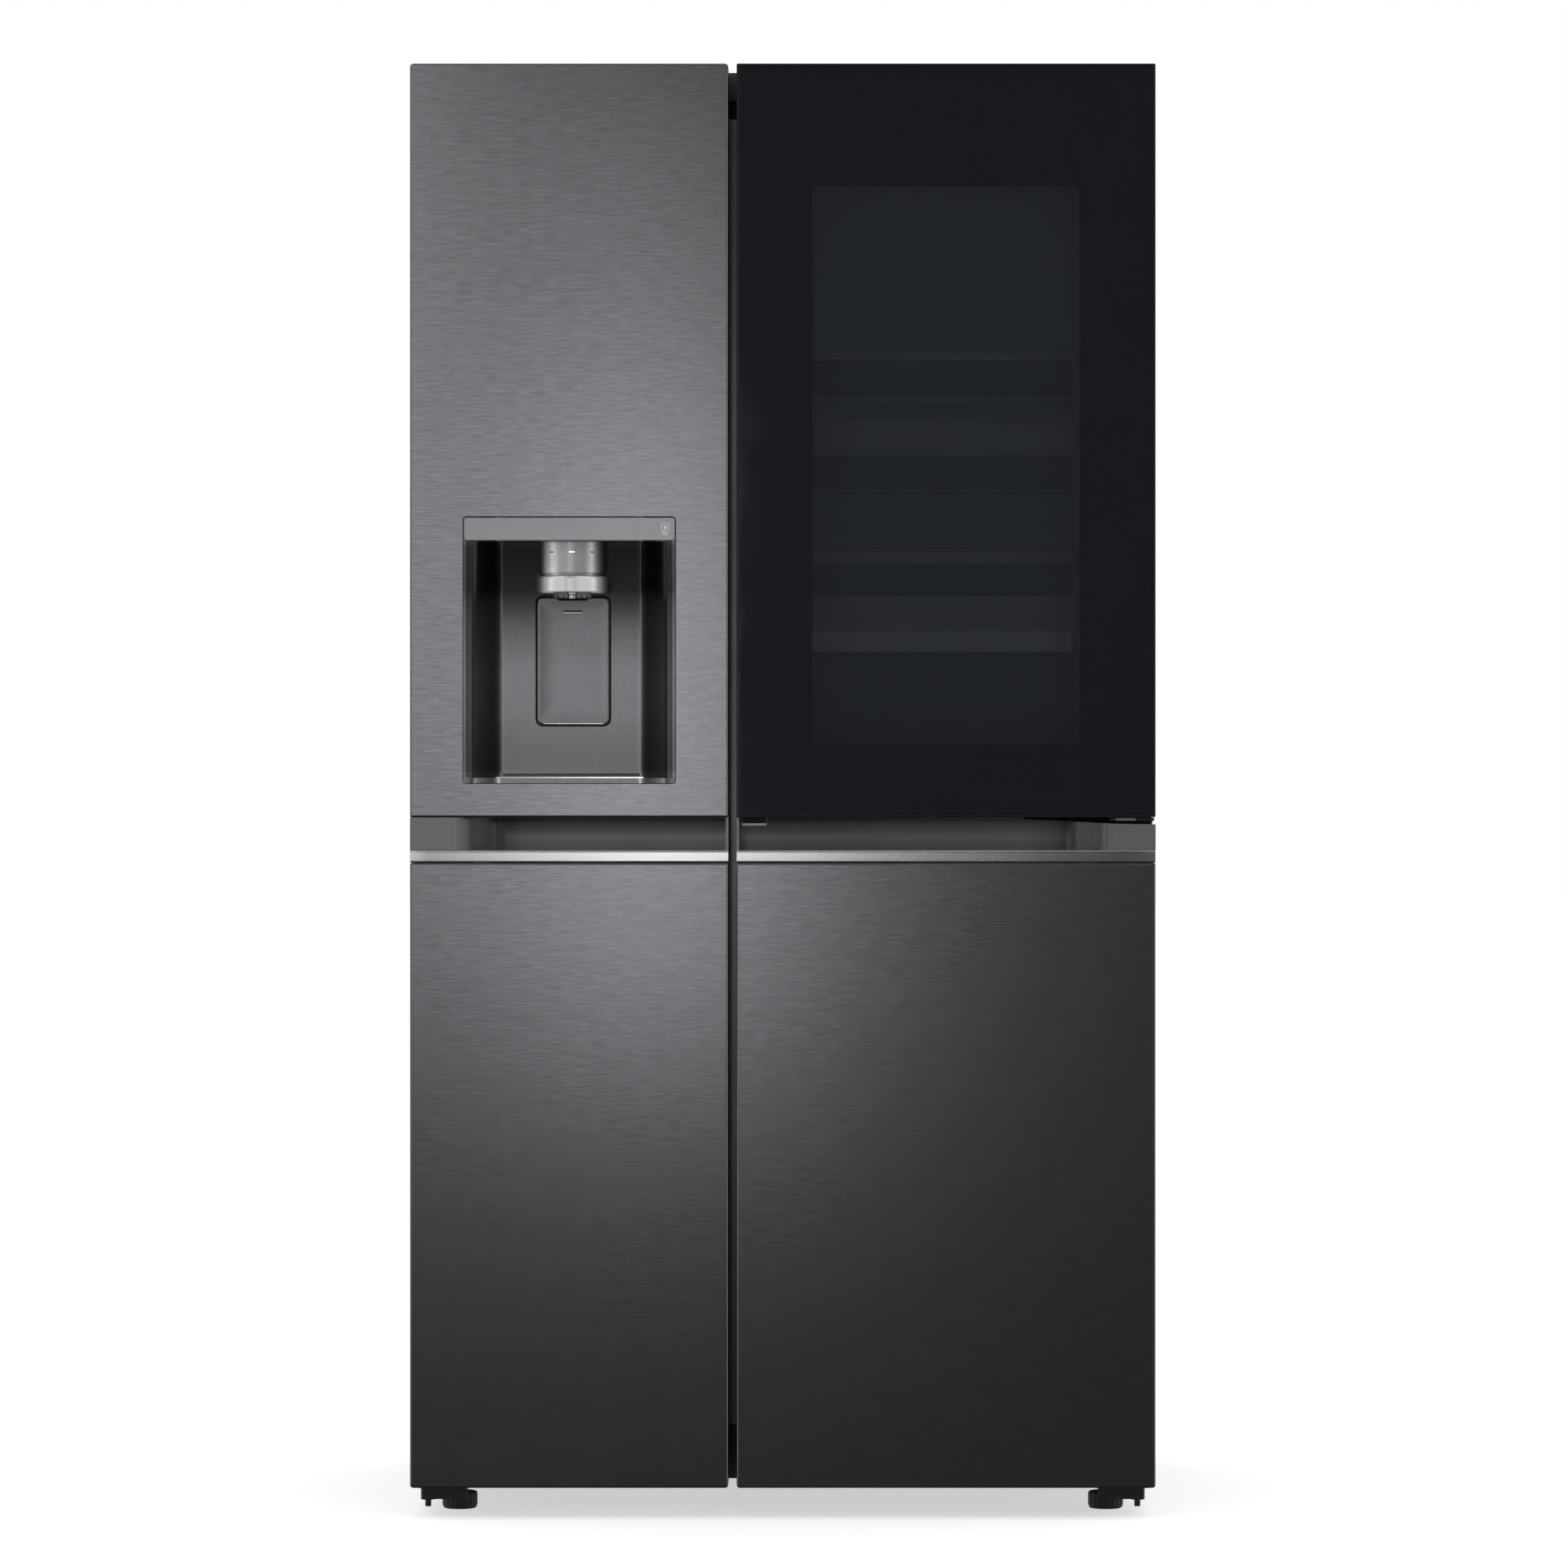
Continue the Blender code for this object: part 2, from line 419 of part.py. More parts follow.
def trim(name, x, mat, parent):
    bm = box((x[0], Y_FRONT, TRIM_BOTTOM), (x[1], -0.3555, TRIM_TOP))
    bevel(bm, 0.0012, 2, lambda mid, way: mid.y < Y_FRONT + 1e-5)
    return piece(name, bm, mat, parent)


# ---------------------------------------------------------------- freezer door with the dispenser
def build_freezer_door(mat):
    axis = empty("freezer_door_axis", (-PIVOT_X, PIVOT_Y, 0.0))
    x = (XL, FREEZER_R)
    upper = door_pan("freezer_front_upper", x, (DOOR_SPLIT, DOOR_TOP), mat["door_steel"], axis, True)
    cut(upper, prism(rounded(DISP_X[0] - GAP, DISP_X[1] + GAP, DISP_Z[0] - GAP, DISP_Z[1] + GAP, 0.005), 1, -0.40, -0.36), cylinder(-PIVOT_X, PIVOT_Y, PIN_HOLE_R, 2, 1.77, 1.80, 20))
    lower = door_pan("freezer_front_lower", x, (DOOR_BOTTOM, LOWER_TOP), mat["door_steel"], axis, False)
    cut(lower, cylinder(-PIVOT_X, PIVOT_Y, PIN_HOLE_R, 2, 0.02, 0.05, 20))
    pocket("freezer_handle_pocket", x, -0.4030, 1, DOOR_SPLIT - GAP, mat["pocket"], axis)
    trim("freezer_handle_trim", x, mat["trim"], axis)

    core = piece("freezer_door_core", box((x[0] + 0.0015, Y_FRONT + 0.0015, DOOR_BOTTOM + 0.0015), (x[1] - 0.0015, -0.2660, DOOR_TOP - 0.0015)), mat["foam"], axis)
    cut(core, box((x[0] - 0.01, -0.40, LOWER_TOP), (x[1] + 0.01, -0.2997, DOOR_SPLIT)))
    cut(core, box((-0.3471, -0.3560, 0.7716), (x[1] + 0.01, -0.3126, LOWER_TOP + 0.002)))
    cut(core, box((DISP_X[0] - 0.001, -0.40, DISP_Z[0] - 0.001), (DISP_X[1] + 0.001, -0.2895, DISP_Z[1] + 0.001)))
    cut(core, box((-0.3090, -0.30, 0.9655), (-0.2085, -0.2755, 1.1385)), cylinder(-PIVOT_X, PIVOT_Y, PIN_HOLE_R, 2, 1.752, 1.80, 20), cylinder(-PIVOT_X, PIVOT_Y, PIN_HOLE_R, 2, 0.02, 0.066, 20))

    back = piece("freezer_door_liner", box((x[0], -0.2657, DOOR_BOTTOM), (x[1], Y_DOOR_BACK, DOOR_TOP)), mat["liner"], axis)
    dyke, hole = ring((-0.397, -0.100), (Y_DOOR_BACK - 0.001, -0.228), (0.118, 1.712), 0.020)
    bevel(dyke, 0.006, 2, lambda mid, way: mid.y > -0.2285)
    join(back, dyke)
    hole_lo = (-0.377, Y_DOOR_BACK, 0.138)
    hole.free()
    cut(back, box(hole_lo, (-0.120, -0.20, 1.692)))

    seal, inner = ring((-0.437, -0.074), (Y_DOOR_BACK + GAP, Y_FLANGE - GAP), (0.078, 1.768), 0.016)
    cut(piece("freezer_gasket", seal, mat["gasket"], axis), inner)

    # dispenser: cavity, header, tower, ring and nozzle
    cav = piece("dispenser_cavity", prism(rounded(*DISP_X, *DISP_Z, 0.005), 1, Y_FRONT, -0.3630), mat["dispenser"], axis)
    join(cav, box((-0.3895, -0.3635, 0.9015), (-0.1330, -0.2900, 1.2265)))
    join(cav, box((-0.3085, -0.2910, 0.9660), (-0.2095, -0.2760, 1.1380)))
    half = [(0.1272, -0.3900), (0.1272, Y_FRONT), (0.1238, -0.3665), (0.1210, -0.36425), (0.1188, -0.36144), (0.1154, -0.3552), (0.0934, -0.3013), (0.0902, -0.29497), (0.0880, -0.29343), (0.0845, RECESS_BACK)]
    outline = [(DISP_CX + w, y) for w, y in half] + [(DISP_CX - w, y) for w, y in half[::-1]]
    recess = prism(outline, 2, RECESS_Z[0], RECESS_Z[1])
    for v in recess.verts:
        if v.co.z < 1.0:
            v.co.z += max(0.0, (v.co.y - Y_FRONT) / 0.075) * 0.005
    cut(cav, recess)
    cut(cav, prism(rounded(-0.3055, -0.2120, 0.9710, 1.1330, 0.008), 1, -0.30, -0.2785))
    cut(cav, *[cylinder(PADDLE_PIVOT[0], PADDLE_PIVOT[1], 0.0029, 0, a, b, 12) for a, b in ((-0.3076, -0.3050), (-0.2125, -0.2099))])
    cut(cav, prism(rounded(-0.3908, -0.1317, 1.1979, 1.2268, 0.004), 1, -0.40, -0.3640))
    piece("dispenser_header", prism(rounded(-0.3905, -0.1320, 1.1982, 1.2265, 0.004), 1, Y_FRONT, -0.3643), mat["header"], axis)

    def d_shape(r):
        return [(TOWER[0] + r * math.cos(t), TOWER[1] + r * math.sin(t)) for t in [math.pi - math.asin(0.0200 / r) + (math.pi + 2 * math.asin(0.0200 / r)) * i / 28 for i in range(29)]]

    tower = piece("dispenser_tower", prism(d_shape(0.0417), 2, 1.1574, RECESS_Z[1] - GAP), mat["header"], axis)
    join(tower, prism(d_shape(0.0380), 2, 1.1559, 1.1600))
    band = prism(d_shape(0.0455), 2, 1.1355, 1.1556)
    ring_body = piece("dispenser_ring", bevel(band, 0.0010, 2, lambda mid, way: abs(way.z) < 0.1 and mid.y < -0.295), mat["chrome"], axis)
    join(ring_body, cylinder(TOWER[0], -0.335, 0.0053, 2, 1.1276, 1.1370, 16))
    cut(ring_body, cylinder(TOWER[0], -0.335, 0.0033, 2, 1.12, 1.1340, 12))

    pivot = empty("dispenser_paddle_axis", (DISP_CX, PADDLE_PIVOT[0], PADDLE_PIVOT[1]), axis)
    paddle = piece("dispenser_paddle", prism(rounded(*PADDLE_X, *PADDLE_Z, 0.008), 1, RECESS_BACK, -0.2885), mat["dispenser"], pivot)
    join(paddle, cylinder(PADDLE_PIVOT[0], PADDLE_PIVOT[1], 0.0025, 0, -0.3070, -0.2105, 12))

    tray("freezer_bin", (-0.3740, -0.1280), (-0.2622, -0.150), (0.600, 0.720), 0.0025, mat["clear_plastic"], axis)
    tray("ice_bank", (-0.3740, -0.1420), (-0.2622, -0.120), (1.250, 1.620), 0.003, mat["clear_plastic"], axis)


# ---------------------------------------------------------------- fridge door and its glass door-in-door
def build_fridge_door(mat):
    axis = empty("fridge_door_axis", (PIVOT_X, PIVOT_Y, 0.0))
    x = (FRIDGE_L, XR)
    lower = door_pan("fridge_front_lower", x, (DOOR_BOTTOM, LOWER_TOP), mat["door_steel"], axis, False)
    cut(lower, cylinder(PIVOT_X, PIVOT_Y, PIN_HOLE_R, 2, 0.02, 0.05, 20))
    grip = pocket("fridge_handle_pocket", x, 0.4100, -1, 0.8588, mat["pocket"], axis)
    cut(grip, box((0.300, -0.40, 0.8516), (0.50, -0.25, 0.87)), box((-0.0535, -0.40, 0.8462), (-0.0160, -0.3200, 0.87)))
    trim("fridge_handle_trim", x, mat["trim"], axis)

    core = piece("fridge_door_core", box((x[0] + 0.0015, Y_FRONT + 0.0015, DOOR_BOTTOM + 0.0015), (x[1] - 0.0015, -0.2660, DOOR_SPLIT - GAP)), mat["foam"], axis)
    cut(core, box((x[0] - 0.01, -0.40, LOWER_TOP), (x[1] + 0.01, -0.2997, 0.90)))
    cut(core, box((x[0] - 0.01, -0.3560, 0.7716), (0.3561, -0.3126, LOWER_TOP + 0.002)))
    cut(core, cylinder(PIVOT_X, PIVOT_Y, PIN_HOLE_R, 2, 0.02, 0.066, 20))

    frame = piece("fridge_door_frame", bevel(box((x[0], RING_FRONT, DOOR_SPLIT), (x[1], Y_DOOR_BACK, DOOR_TOP)), 0.002, 1, lambda mid, way: mid.y < RING_FRONT + 1e-5), mat["liner"], axis)
    join(frame, box((x[0], -0.2657, DOOR_BOTTOM), (x[1], Y_DOOR_BACK, DOOR_SPLIT + 0.002)))
    join(frame, bevel(box((-0.024, Y_DOOR_BACK - 0.001, 0.118), (0.397, -0.228, 1.712)), 0.006, 2, lambda mid, way: mid.y > -0.2285))
    cut(frame, box((0.0030, -0.40, 0.925), (0.3700, -0.20, 1.680)))
    cut(frame, box((-0.0040, Y_DOOR_BACK, 0.138), (0.3770, -0.20, 0.905)))
    cut(frame, cylinder(PIVOT_X, PIVOT_Y, PIN_HOLE_R, 2, 1.752, 1.80, 20))

    seal, inner = ring((-0.0492, 0.437), (Y_DOOR_BACK + GAP, Y_FLANGE - GAP), (0.078, 1.768), 0.016)
    cut(piece("fridge_gasket", seal, mat["gasket"], axis), inner)

    tray("door_bin_upper", (0.0060, 0.3670), (-0.3040, -0.150), (1.372, 1.432), 0.0025, mat["clear_plastic"], axis)
    tray("door_bin_middle", (0.0060, 0.3670), (-0.3040, -0.150), (1.260, 1.350), 0.0025, mat["clear_plastic"], axis)
    tray("door_bin_utility", (0.0060, 0.3670), (-0.3040, -0.150), (1.062, 1.186), 0.0025, mat["clear_plastic"], axis)
    tray("fridge_bin_lower", (0.0000, 0.3730), (-0.2622, -0.150), (0.600, 0.720), 0.0025, mat["clear_plastic"], axis)

    low = piece("glass_hinge_lower", bevel(box((0.4000, -0.3560, 0.8548), (0.4555, -0.3080, 0.8588)), 0.004, 2, lambda mid, way: abs(way.z) > 0.9 and mid.y < -0.35), mat["zinc"], axis)
    join(low, box((0.4000, -0.3108, 0.8560), (0.4170, -0.3079, 0.8690)), cylinder(PIVOT_X, GLASS_PIVOT_Y, 0.0040, 2, 0.8570, 0.8800, 16))
    top = [(0.4300, -0.3540), (0.4460, -0.3540), (0.4460, -0.3400), (0.4230, -0.3060), (0.4230, -0.3000), (0.3970, -0.3000), (0.3970, -0.3100)]
    join(frame, prism(top, 2, 1.7793, DOOR_TOP))
    join(frame, cylinder(PIVOT_X, GLASS_PIVOT_Y, 0.0040, 2, 1.7600, 1.7800, 16))

    # the glass door, hinged on the fridge door
    glass_axis = empty("glass_door_axis", (PIVOT_X, GLASS_PIVOT_Y, 0.0), axis)
    g = piece("glass_frame", bevel(box((x[0], Y_FRONT, DOOR_SPLIT), (x[1], GLASS_BACK, DOOR_TOP)), 0.0018, 2, lambda mid, way: mid.y < Y_FRONT + 1e-5 or (abs(way.y) > 0.9)), mat["black_plastic"], glass_axis)
    cut(g, prism(rounded(-0.0541, 0.4540, 0.8619, 1.7798, 0.003, 2), 1, -0.40, -0.3635))
    cut(g, box((0.0300, -0.40, 0.9420), (0.3700, -0.30, 1.6390)))
    cut(g, box((0.0180, -0.3180, 0.9300), (0.3820, -0.30, 1.6510)))
    cut(g, cylinder(PIVOT_X, GLASS_PIVOT_Y, 0.0044, 2, 0.84, 0.884, 16), cylinder(PIVOT_X, GLASS_PIVOT_Y, 0.0044, 2, 1.756, 1.80, 16), box((-0.0520, -0.3470, 0.84), (-0.0175, -0.3270, 0.884)))
    cut(g, box((0.3850, -0.3605, 1.7788), (0.47, -0.30, 1.80)))
    piece("glass_front", bevel(prism(rounded(-0.0538, 0.4537, 0.8622, 1.7795, 0.003, 2), 1, Y_FRONT, -0.3638), 0.0006, 1, lambda mid, way: mid.y < Y_FRONT + 1e-5), mat["dark_glass"], glass_axis)
    piece("glass_inner_pane", box((0.0185, -0.3177, 0.9305), (0.3815, GLASS_BACK - GAP, 1.6505)), mat["clear_glass"], glass_axis)
    seal, inner = ring((-0.045, 0.436), (GLASS_BACK + GAP, RING_FRONT - GAP), (0.870, 1.768), 0.014)
    cut(piece("glass_gasket", seal, mat["gasket"], glass_axis), inner)

    lever_axis = empty("release_lever_axis", (-0.03475, -0.338, 0.868), glass_axis)
    lever = piece("release_lever", bevel(box((-0.0500, -0.3620, 0.8484), (-0.0195, -0.3350, 0.8522)), 0.0016, 2, lambda mid, way: mid.y < -0.36), mat["trim"], lever_axis)
    join(lever, box((-0.0490, -0.3395, 0.8510), (-0.0205, -0.3365, 0.8720)))
    join(lever, cylinder(-0.338, 0.868, 0.0022, 0, -0.0505, -0.0190, 12))


def main():
    for o in list(bpy.data.objects):
        bpy.data.objects.remove(o, do_unlink=True)
    mat = {
        "case": material("case_paint", (0.050, 0.051, 0.054), 0.45, 0.3),
        "door_steel": material("graphite_brushed_steel", (0.105, 0.106, 0.112), 0.34, 1.0),
        "trim": material("satin_trim", (0.62, 0.63, 0.64), 0.25, 1.0),
        "chrome": material("bright_metal", (0.80, 0.80, 0.80), 0.15, 1.0),
        "zinc": material("zinc_steel", (0.45, 0.46, 0.47), 0.40, 1.0),
        "galvanised": material("galvanised_steel", (0.42, 0.43, 0.44), 0.50, 1.0),
        "black_metal": material("black_painted_metal", (0.012, 0.012, 0.013), 0.45, 0.2),
        "aluminium": material("aluminium", (0.72, 0.73, 0.74), 0.35, 1.0),
        "foam": material("insulation_foam", (0.78, 0.70, 0.48), 0.95),
        "liner": material("white_liner_plastic", (0.80, 0.81, 0.82), 0.40),
        "gasket": material("grey_gasket_rubber", (0.16, 0.16, 0.17), 0.80),
        "pocket": material("graphite_pocket_plastic", (0.045, 0.046, 0.050), 0.40, 0.2),
        "dispenser": material("graphite_dispenser_plastic", (0.060, 0.059, 0.064), 0.38, 0.2),
        "header": material("grey_header_plastic", (0.160, 0.158, 0.168), 0.35, 0.3),
        "black_plastic": material("black_plastic", (0.010, 0.010, 0.011), 0.50),
        "dark_glass": material("dark_glass", (0.008, 0.009, 0.011), 0.05, 0.0, 0.3),
        "clear_glass": material("clear_glass", (0.80, 0.86, 0.86), 0.05, 0.0, 0.9),
        "clear_plastic": material("clear_bin_plastic", (0.80, 0.84, 0.86), 0.12, 0.0, 0.8),
    }
    build_cabinet(mat)
    build_cabinet_movers(mat)
    build_freezer_door(mat)
    build_fridge_door(mat)


main()
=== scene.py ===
import math

import bmesh
import bpy
from mathutils import Matrix, Vector


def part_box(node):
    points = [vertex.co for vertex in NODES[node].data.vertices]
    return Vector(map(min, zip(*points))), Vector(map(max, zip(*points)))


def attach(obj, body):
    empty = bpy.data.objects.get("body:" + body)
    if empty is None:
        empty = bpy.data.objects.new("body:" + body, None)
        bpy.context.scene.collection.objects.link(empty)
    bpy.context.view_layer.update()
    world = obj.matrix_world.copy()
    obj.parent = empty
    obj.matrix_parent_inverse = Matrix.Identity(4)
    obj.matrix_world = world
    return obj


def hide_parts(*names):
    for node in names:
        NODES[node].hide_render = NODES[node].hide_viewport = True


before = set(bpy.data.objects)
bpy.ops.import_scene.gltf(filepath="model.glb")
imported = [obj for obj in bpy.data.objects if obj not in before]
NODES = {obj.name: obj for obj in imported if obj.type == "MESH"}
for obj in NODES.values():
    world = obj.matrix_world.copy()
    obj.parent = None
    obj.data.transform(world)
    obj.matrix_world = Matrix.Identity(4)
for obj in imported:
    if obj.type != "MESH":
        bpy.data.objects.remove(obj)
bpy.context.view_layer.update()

# ------------------------------------------------------------------------------------------ node materials


class Tree:
    """A small helper for building a material's nodes."""

    def __init__(self, name, color=(0.5, 0.5, 0.5), roughness=0.5, metallic=0.0, **consts):
        self.mat = bpy.data.materials.new(name)
        self.mat.use_nodes = True
        self.t = self.mat.node_tree
        self.b = self.t.nodes["Principled BSDF"]
        self.b.inputs["Base Color"].default_value = (*color, 1.0)
        self.b.inputs["Roughness"].default_value = roughness
        self.b.inputs["Metallic"].default_value = metallic
        for key, value in consts.items():
            self.b.inputs[key.replace("_", " ")].default_value = value
        self.mat.diffuse_color = (*color, 1.0)
        self._coord = None

    def node(self, kind, **props):
        n = self.t.nodes.new(kind)
        for k, v in props.items():
            setattr(n, k, v)
        return n

    def link(self, a, b):
        self.t.links.new(a, b)

    def coord(self):
        if self._coord is None:
            self._coord = self.node("ShaderNodeTexCoord").outputs["Object"]
        return self._coord

    def mapped(self, scale, rotation=(0, 0, 0), location=(0, 0, 0)):
        m = self.node("ShaderNodeMapping")
        m.inputs["Scale"].default_value = scale
        m.inputs["Rotation"].default_value = rotation
        m.inputs["Location"].default_value = location
        self.link(self.coord(), m.inputs["Vector"])
        return m.outputs["Vector"]

    def noise(self, vector, scale=1.0, detail=3.0, rough=0.5):
        n = self.node("ShaderNodeTexNoise")
        n.inputs["Scale"].default_value = scale
        n.inputs["Detail"].default_value = detail
        n.inputs["Roughness"].default_value = rough
        self.link(vector, n.inputs["Vector"])
        return n.outputs["Fac"]

    def voronoi(self, vector, scale=1.0):
        n = self.node("ShaderNodeTexVoronoi")
        n.inputs["Scale"].default_value = scale
        self.link(vector, n.inputs["Vector"])
        return n.outputs["Distance"]

    def remap(self, fac, lo, hi, a=0.0, b=1.0):
        n = self.node("ShaderNodeMapRange")
        n.inputs["From Min"].default_value = a
        n.inputs["From Max"].default_value = b
        n.inputs["To Min"].default_value = lo
        n.inputs["To Max"].default_value = hi
        self.link(fac, n.inputs["Value"])
        return n.outputs["Result"]

    def math(self, op, a, b=None, clamp=False):
        n = self.node("ShaderNodeMath", operation=op, use_clamp=clamp)
        for i, v in enumerate((a, b)):
            if v is None:
                continue
            if isinstance(v, (int, float)):
                n.inputs[i].default_value = v
            else:
                self.link(v, n.inputs[i])
        return n.outputs[0]

    def mix(self, fac, a, b):
        n = self.node("ShaderNodeMix", data_type="RGBA")
        for i, v in ((0, fac), (6, a), (7, b)):
            if isinstance(v, tuple):
                n.inputs[i].default_value = (*v, 1.0)
            elif isinstance(v, (int, float)):
                n.inputs[i].default_value = v
            else:
                self.link(v, n.inputs[i])
        return n.outputs[2]

    def color(self, socket):
        self.link(socket, self.b.inputs["Base Color"])

    def along(self, axis, stops, centre=0.0, mirrored=False):
        """A number that follows straight lines between (place, value) stops along one axis of the piece."""
        sep = self.node("ShaderNodeSeparateXYZ")
        self.link(self.coord(), sep.inputs[0])
        v = sep.outputs[axis]
        if centre:
            v = self.math("SUBTRACT", v, centre)
        if mirrored:
            v = self.math("ABSOLUTE", v)
        total = None
        for (a, va), (b, vb) in zip(stops, stops[1:]):
            part = self.remap(v, 0.0, vb - va, a, b)
            total = part if total is None else self.math("ADD", total, part)
        return self.math("ADD", total, stops[0][1])

    def times(self, color_socket, *factors):
        """The colour multiplied by numbers."""
        for f in factors:
            n = self.node("ShaderNodeVectorMath", operation="SCALE")
            self.link(color_socket, n.inputs[0])
            self.link(f, n.inputs["Scale"])
            color_socket = n.outputs[0]
        return color_socket

    def rough(self, socket):
        self.link(socket, self.b.inputs["Roughness"])

    def bump(self, height, strength=0.1, distance=0.001):
        n = self.node("ShaderNodeBump")
        n.inputs["Strength"].default_value = strength
        n.inputs["Distance"].default_value = distance
        self.link(height, n.inputs["Height"])
        self.link(n.outputs["Normal"], self.b.inputs["Normal"])


def scaled(color, k):
    return tuple(min(1.0, c * k) for c in color)


def brushed(name, color, roughness, depth=0.12, grain=(2.2, 2.2, 620.0), metallic=1.0, bump=0.05, spread=0.035, broad=0.28, shade=()):
    """Metal brushed along the level directions: long fine streaks, at two widths. Shade ramps multiply the colour along
    the piece's axes: painted highlights and painted shade.
    """
    t = Tree(name, color, roughness, metallic)
    fine = t.noise(t.mapped(grain), 1.0, 4.0, 0.62)
    wide = t.noise(t.mapped((grain[0] * 0.45, grain[1] * 0.45, grain[2] * 0.16), location=(3.1, 1.7, 0.4)), 1.0, 2.0, 0.5)
    streak = t.math("ADD", t.math("MULTIPLY", fine, 1.0 - broad), t.math("MULTIPLY", wide, broad))
    k = t.remap(streak, 0.0, 1.0, 0.32, 0.68)
    t.color(t.times(t.mix(k, scaled(color, 1 - depth), scaled(color, 1 + depth)), *[t.along(*one) for one in shade]))
    t.rough(t.remap(streak, roughness - spread, roughness + spread, 0.32, 0.68))
    t.bump(streak, bump, 0.0004)
    return t.mat


def moulded(name, color, roughness, metallic=0.0, grain=900.0, bump=0.10, vary=0.10, shade=(), **consts):
    """Injection-moulded plastic: a fine spark-eroded texture and a faint tone change over the piece. Shade ramps
    multiply the colour along the piece's axes: most callers use them for painted highlights and painted shade, the door
    frame for its two-tone edge.
    """
    t = Tree(name, color, roughness, metallic, **consts)
    fine = t.noise(t.mapped((grain, grain, grain)), 1.0, 2.0, 0.6)
    slow = t.noise(t.mapped((5.0, 5.0, 5.0)), 1.0, 3.0, 0.5)
    tone = t.mix(slow, scaled(color, 1 - vary), scaled(color, 1 + vary))
    if shade:
        tone = t.times(tone, *[t.along(*args) for args in shade])
    t.color(tone)
    t.rough(t.remap(fine, roughness - 0.05, min(1.0, roughness + 0.06), 0.3, 0.7))
    t.bump(fine, bump, 0.0002)
    return t.mat


def painted(name, color, roughness, metallic=0.0, peel=260.0, bump=0.08, **consts):
    """Sprayed paint or powder coat: soft orange peel and slightly uneven gloss."""
    t = Tree(name, color, roughness, metallic, **consts)
    peel_n = t.noise(t.mapped((peel, peel, peel)), 1.0, 2.0, 0.45)
    slow = t.noise(t.mapped((3.0, 3.0, 3.0)), 1.0, 3.0, 0.5)
    t.color(t.mix(slow, scaled(color, 0.92), scaled(color, 1.08)))
    t.rough(t.remap(slow, roughness - 0.04, roughness + 0.04, 0.3, 0.7))
    t.bump(peel_n, bump, 0.0004)
    return t.mat


def clear(name, color, alpha, roughness, bump=0.03, **consts):
    """Clear glass or plastic, thin enough that it does not bend what is seen through it."""
    t = Tree(name, color, roughness, 0.0, Alpha=alpha, **consts)
    slow = t.noise(t.mapped((14.0, 14.0, 14.0)), 1.0, 2.0, 0.5)
    t.color(t.mix(slow, scaled(color, 0.95), scaled(color, 1.04)))
    t.rough(t.remap(slow, max(0.0, roughness - 0.02), roughness + 0.02, 0.3, 0.7))
    t.bump(slow, bump, 0.001)
    return t.mat


def galvanised(name, color, roughness):
    """Zinc-coated sheet with its crystal spangle."""
    t = Tree(name, color, roughness, 1.0)
    cells = t.node("ShaderNodeTexVoronoi")
    cells.inputs["Scale"].default_value = 1.0
    t.link(t.mapped((85.0, 85.0, 85.0)), cells.inputs["Vector"])
    split = t.node("ShaderNodeSeparateColor")
    t.link(cells.outputs["Color"], split.inputs["Color"])
    k = split.outputs["Red"]
    t.color(t.mix(k, scaled(color, 0.93), scaled(color, 1.06)))
    t.rough(t.remap(k, roughness - 0.04, roughness + 0.04))
    fine = t.noise(t.mapped((300.0, 300.0, 300.0)), 1.0, 2.0, 0.5)
    t.bump(fine, 0.05, 0.0003)
    return t.mat


def foam_material(name, color):
    t = Tree(name, color, 0.95)
    cells = t.voronoi(t.mapped((420.0, 420.0, 420.0)))
    t.color(t.mix(t.remap(cells, 0.0, 1.0, 0.0, 0.9), scaled(color, 0.72), scaled(color, 1.1)))
    t.bump(cells, 0.35, 0.0008)
    return t.mat


def rubber_material(name, color, roughness=0.78):
    t = Tree(name, color, roughness)
    fine = t.noise(t.mapped((700.0, 700.0, 700.0)), 1.0, 3.0, 0.6)
    slow = t.noise(t.mapped((9.0, 9.0, 9.0)), 1.0, 2.0, 0.5)
    t.color(t.mix(slow, scaled(color, 0.85), scaled(color, 1.15)))
    t.rough(t.remap(fine, roughness - 0.06, roughness + 0.08, 0.3, 0.7))
    t.bump(fine, 0.12, 0.0003)
    return t.mat


def glowing(name, color, strength):
    t = Tree(name, color, 0.5)
    slow = t.noise(t.mapped((60.0, 60.0, 60.0)), 1.0, 1.0, 0.5)
    t.link(t.mix(slow, scaled(color, 0.92), scaled(color, 1.0)), t.b.inputs["Emission Color"])
    t.b.inputs["Emission Strength"].default_value = strength
    return t.mat


STEEL = brushed("steel_graphite_brushed", (0.300, 0.304, 0.322), 0.190, 0.17, (55.0, 55.0, 640.0), 1.0, 0.003, 0.003, 0.05)
TRIM = brushed("trim_satin_aluminium", (0.93, 0.94, 0.96), 0.175, 0.015, (1.5, 1.5, 500.0), 1.0, 0.003, 0.005)
# grip bars: the X ramp paints a reflection gradient along the bar, lighter and darker bands where the studio light
# falls
GRIP_PAINTED_REFLECTION = brushed("grip_satin_aluminium_painted_reflection", (0.93, 0.94, 0.96), 0.175, 0.015, (1.5, 1.5, 500.0), 1.0, 0.003, 0.005, 0.28, (("X", ((-0.4540, 1.0), (-0.4350, 0.70), (-0.3970, 0.77), (-0.3220, 0.85), (-0.2660, 0.87), (-0.1540, 0.95), (-0.0280, 0.97), (0.0240, 1.06), (0.2350, 1.06), (0.2870, 1.0), (0.3130, 0.88), (0.3660, 0.80), (0.4180, 0.71), (0.4350, 0.80), (0.4500, 1.0))),))
